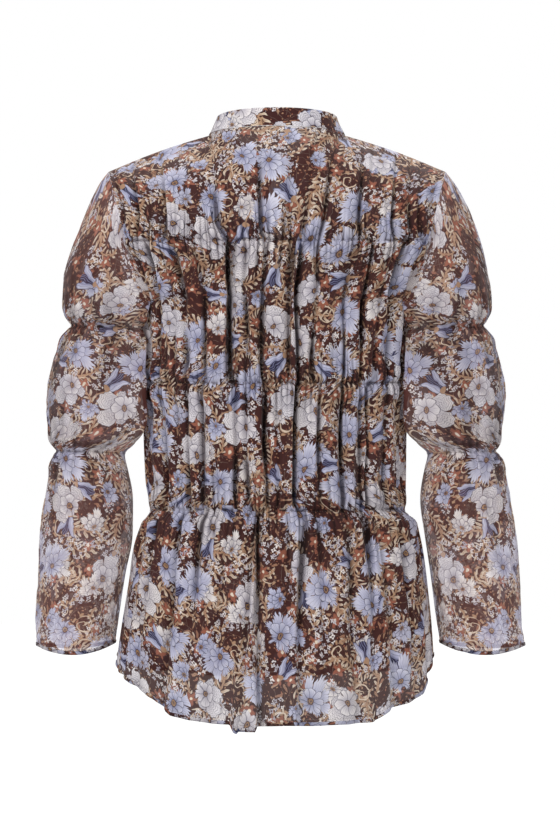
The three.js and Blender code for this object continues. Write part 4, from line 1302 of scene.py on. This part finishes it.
def stitches_on(tree, curve, sizes):
    """Small round-ended stitches at an even pitch."""
    points = {"Curve": curve, "Length": sizes["Pitch"]}
    points = tree.node("GeometryNodeCurveToPoints", points, mode="LENGTH")
    aim = {"Vector": tree.out(points, "Tangent")}
    aim = tree.node("FunctionNodeAlignEulerToVector", aim, axis="Z")
    bead = tree.node("GeometryNodeMeshIcoSphere", {"Subdivisions": 1, "Radius": 0.5})
    scale = {"X": sizes["Thickness"], "Y": sizes["Thickness"], "Z": sizes["Length"]}
    scale = tree.node("ShaderNodeCombineXYZ", scale)
    placed = {"Points": tree.out(points, "Points"), "Instance": tree.out(bead, "Mesh")}
    placed |= {"Rotation": tree.out(aim, "Rotation"), "Scale": tree.out(scale)}
    return tree.out(tree.node("GeometryNodeInstanceOnPoints", placed), "Instances")


def cord_on(tree, curve, sizes):
    """A thin round thread."""
    ring = tree.node("GeometryNodeCurvePrimitiveCircle", {"Resolution": 5, "Radius": sizes["Radius"]})
    sweep = {"Curve": curve, "Profile Curve": tree.out(ring, "Curve")}
    return tree.out(tree.node("GeometryNodeCurveToMesh", sweep), "Mesh")


def sewn_lines(name, lines, sew, sizes, material):
    """Sews along lines of points with a node tree, and keeps its result as a plain mesh on the body."""
    tree = Nodes(bpy.data.node_groups.new(name, "GeometryNodeTree"))
    for way in ("INPUT", "OUTPUT"):
        tree.tree.interface.new_socket("Geometry", in_out=way, socket_type="NodeSocketGeometry")
    keys = {}
    for title in sizes:
        socket = tree.tree.interface.new_socket(title, in_out="INPUT", socket_type="NodeSocketFloat")
        keys[title] = socket.identifier
    entry = tree.node("NodeGroupInput")
    curve = tree.node("GeometryNodeMeshToCurve", {"Mesh": tree.out(entry, "Geometry")})
    sewn = sew(tree, tree.out(curve), {title: tree.out(entry, title) for title in sizes})
    real = tree.node("GeometryNodeRealizeInstances", {"Geometry": sewn})
    finish = tree.node("GeometryNodeSetMaterial", {"Geometry": tree.out(real), "Material": material})
    tree.node("NodeGroupOutput", {"Geometry": tree.out(finish)})

    points = np.concatenate([line for line, _ in lines]) * MM
    edges, first = [], 0
    for line, closed in lines:
        last = first + len(line) - 1
        edges += [(i, i + 1) for i in range(first, last)]
        edges += [(last, first)] if closed else []
        first = last + 1
    guide = bpy.data.objects.new(f"{name}_guide", bpy.data.meshes.new(f"{name}_guide"))
    guide.data.from_pydata(points.tolist(), edges, [])
    bpy.context.collection.objects.link(guide)
    modifier = guide.modifiers.new(name, "NODES")
    modifier.node_group = tree.tree
    for title, size in sizes.items():
        modifier[keys[title]] = size * MM
    depsgraph = bpy.context.evaluated_depsgraph_get()
    mesh = bpy.data.meshes.new_from_object(guide.evaluated_get(depsgraph))
    guide.modifiers.remove(modifier)
    bpy.data.objects.remove(guide)
    mesh.name = name
    mesh.polygons.foreach_set("use_smooth", [True] * len(mesh.polygons))
    return placed_piece(name, mesh)


def on_cloth(grid, row, lift, closed=False):
    """A line along a row of the cloth, lifted off it: outwards for stitches, inwards for elastic."""
    _, off = cloth_frame(grid, row, -1, closed)
    from_middle = (grid[row] - grid.reshape(-1, 3).mean(0)) * [1, 1, 0]
    outward = np.sign((from_middle * off).sum(-1, keepdims=True).mean()) * off
    return grid[row] + outward * lift, closed


outside_lines, inside_lines = [], []
for grid in (back_grid, front_grid, *sleeve_grids.values()):
    closed = grid is not back_grid and grid is not front_grid
    levels = grid[:, grid.shape[1] // 3, 2]
    rows = sleeve_elastic_rows
    if not closed:
        rows = [int(np.argmin(np.abs(levels - line))) for line in ELASTIC_LINES]
    for row in rows:
        outside_lines.append(on_cloth(grid, row, STITCH_LIFT, closed))
        inside_lines.append(on_cloth(grid, row, -ELASTIC_SINK, closed))
    outside_lines.append(on_cloth(grid, -3, ROLL["thick"] + 0.05, closed))

sewing_thread = thread_material("sewing_thread", (0.085, 0.035, 0.030))
elastic_cord = thread_material("elastic_cord", (0.30, 0.24, 0.22))
stitch_sizes = {"Pitch": STITCH["pitch"], "Length": STITCH["long"], "Thickness": STITCH["thick"]}
stitches = sewn_lines("stitching", outside_lines, stitches_on, stitch_sizes, sewing_thread)
elastic = sewn_lines("elastic_thread", inside_lines, cord_on, {"Radius": ELASTIC_THREAD}, elastic_cord)
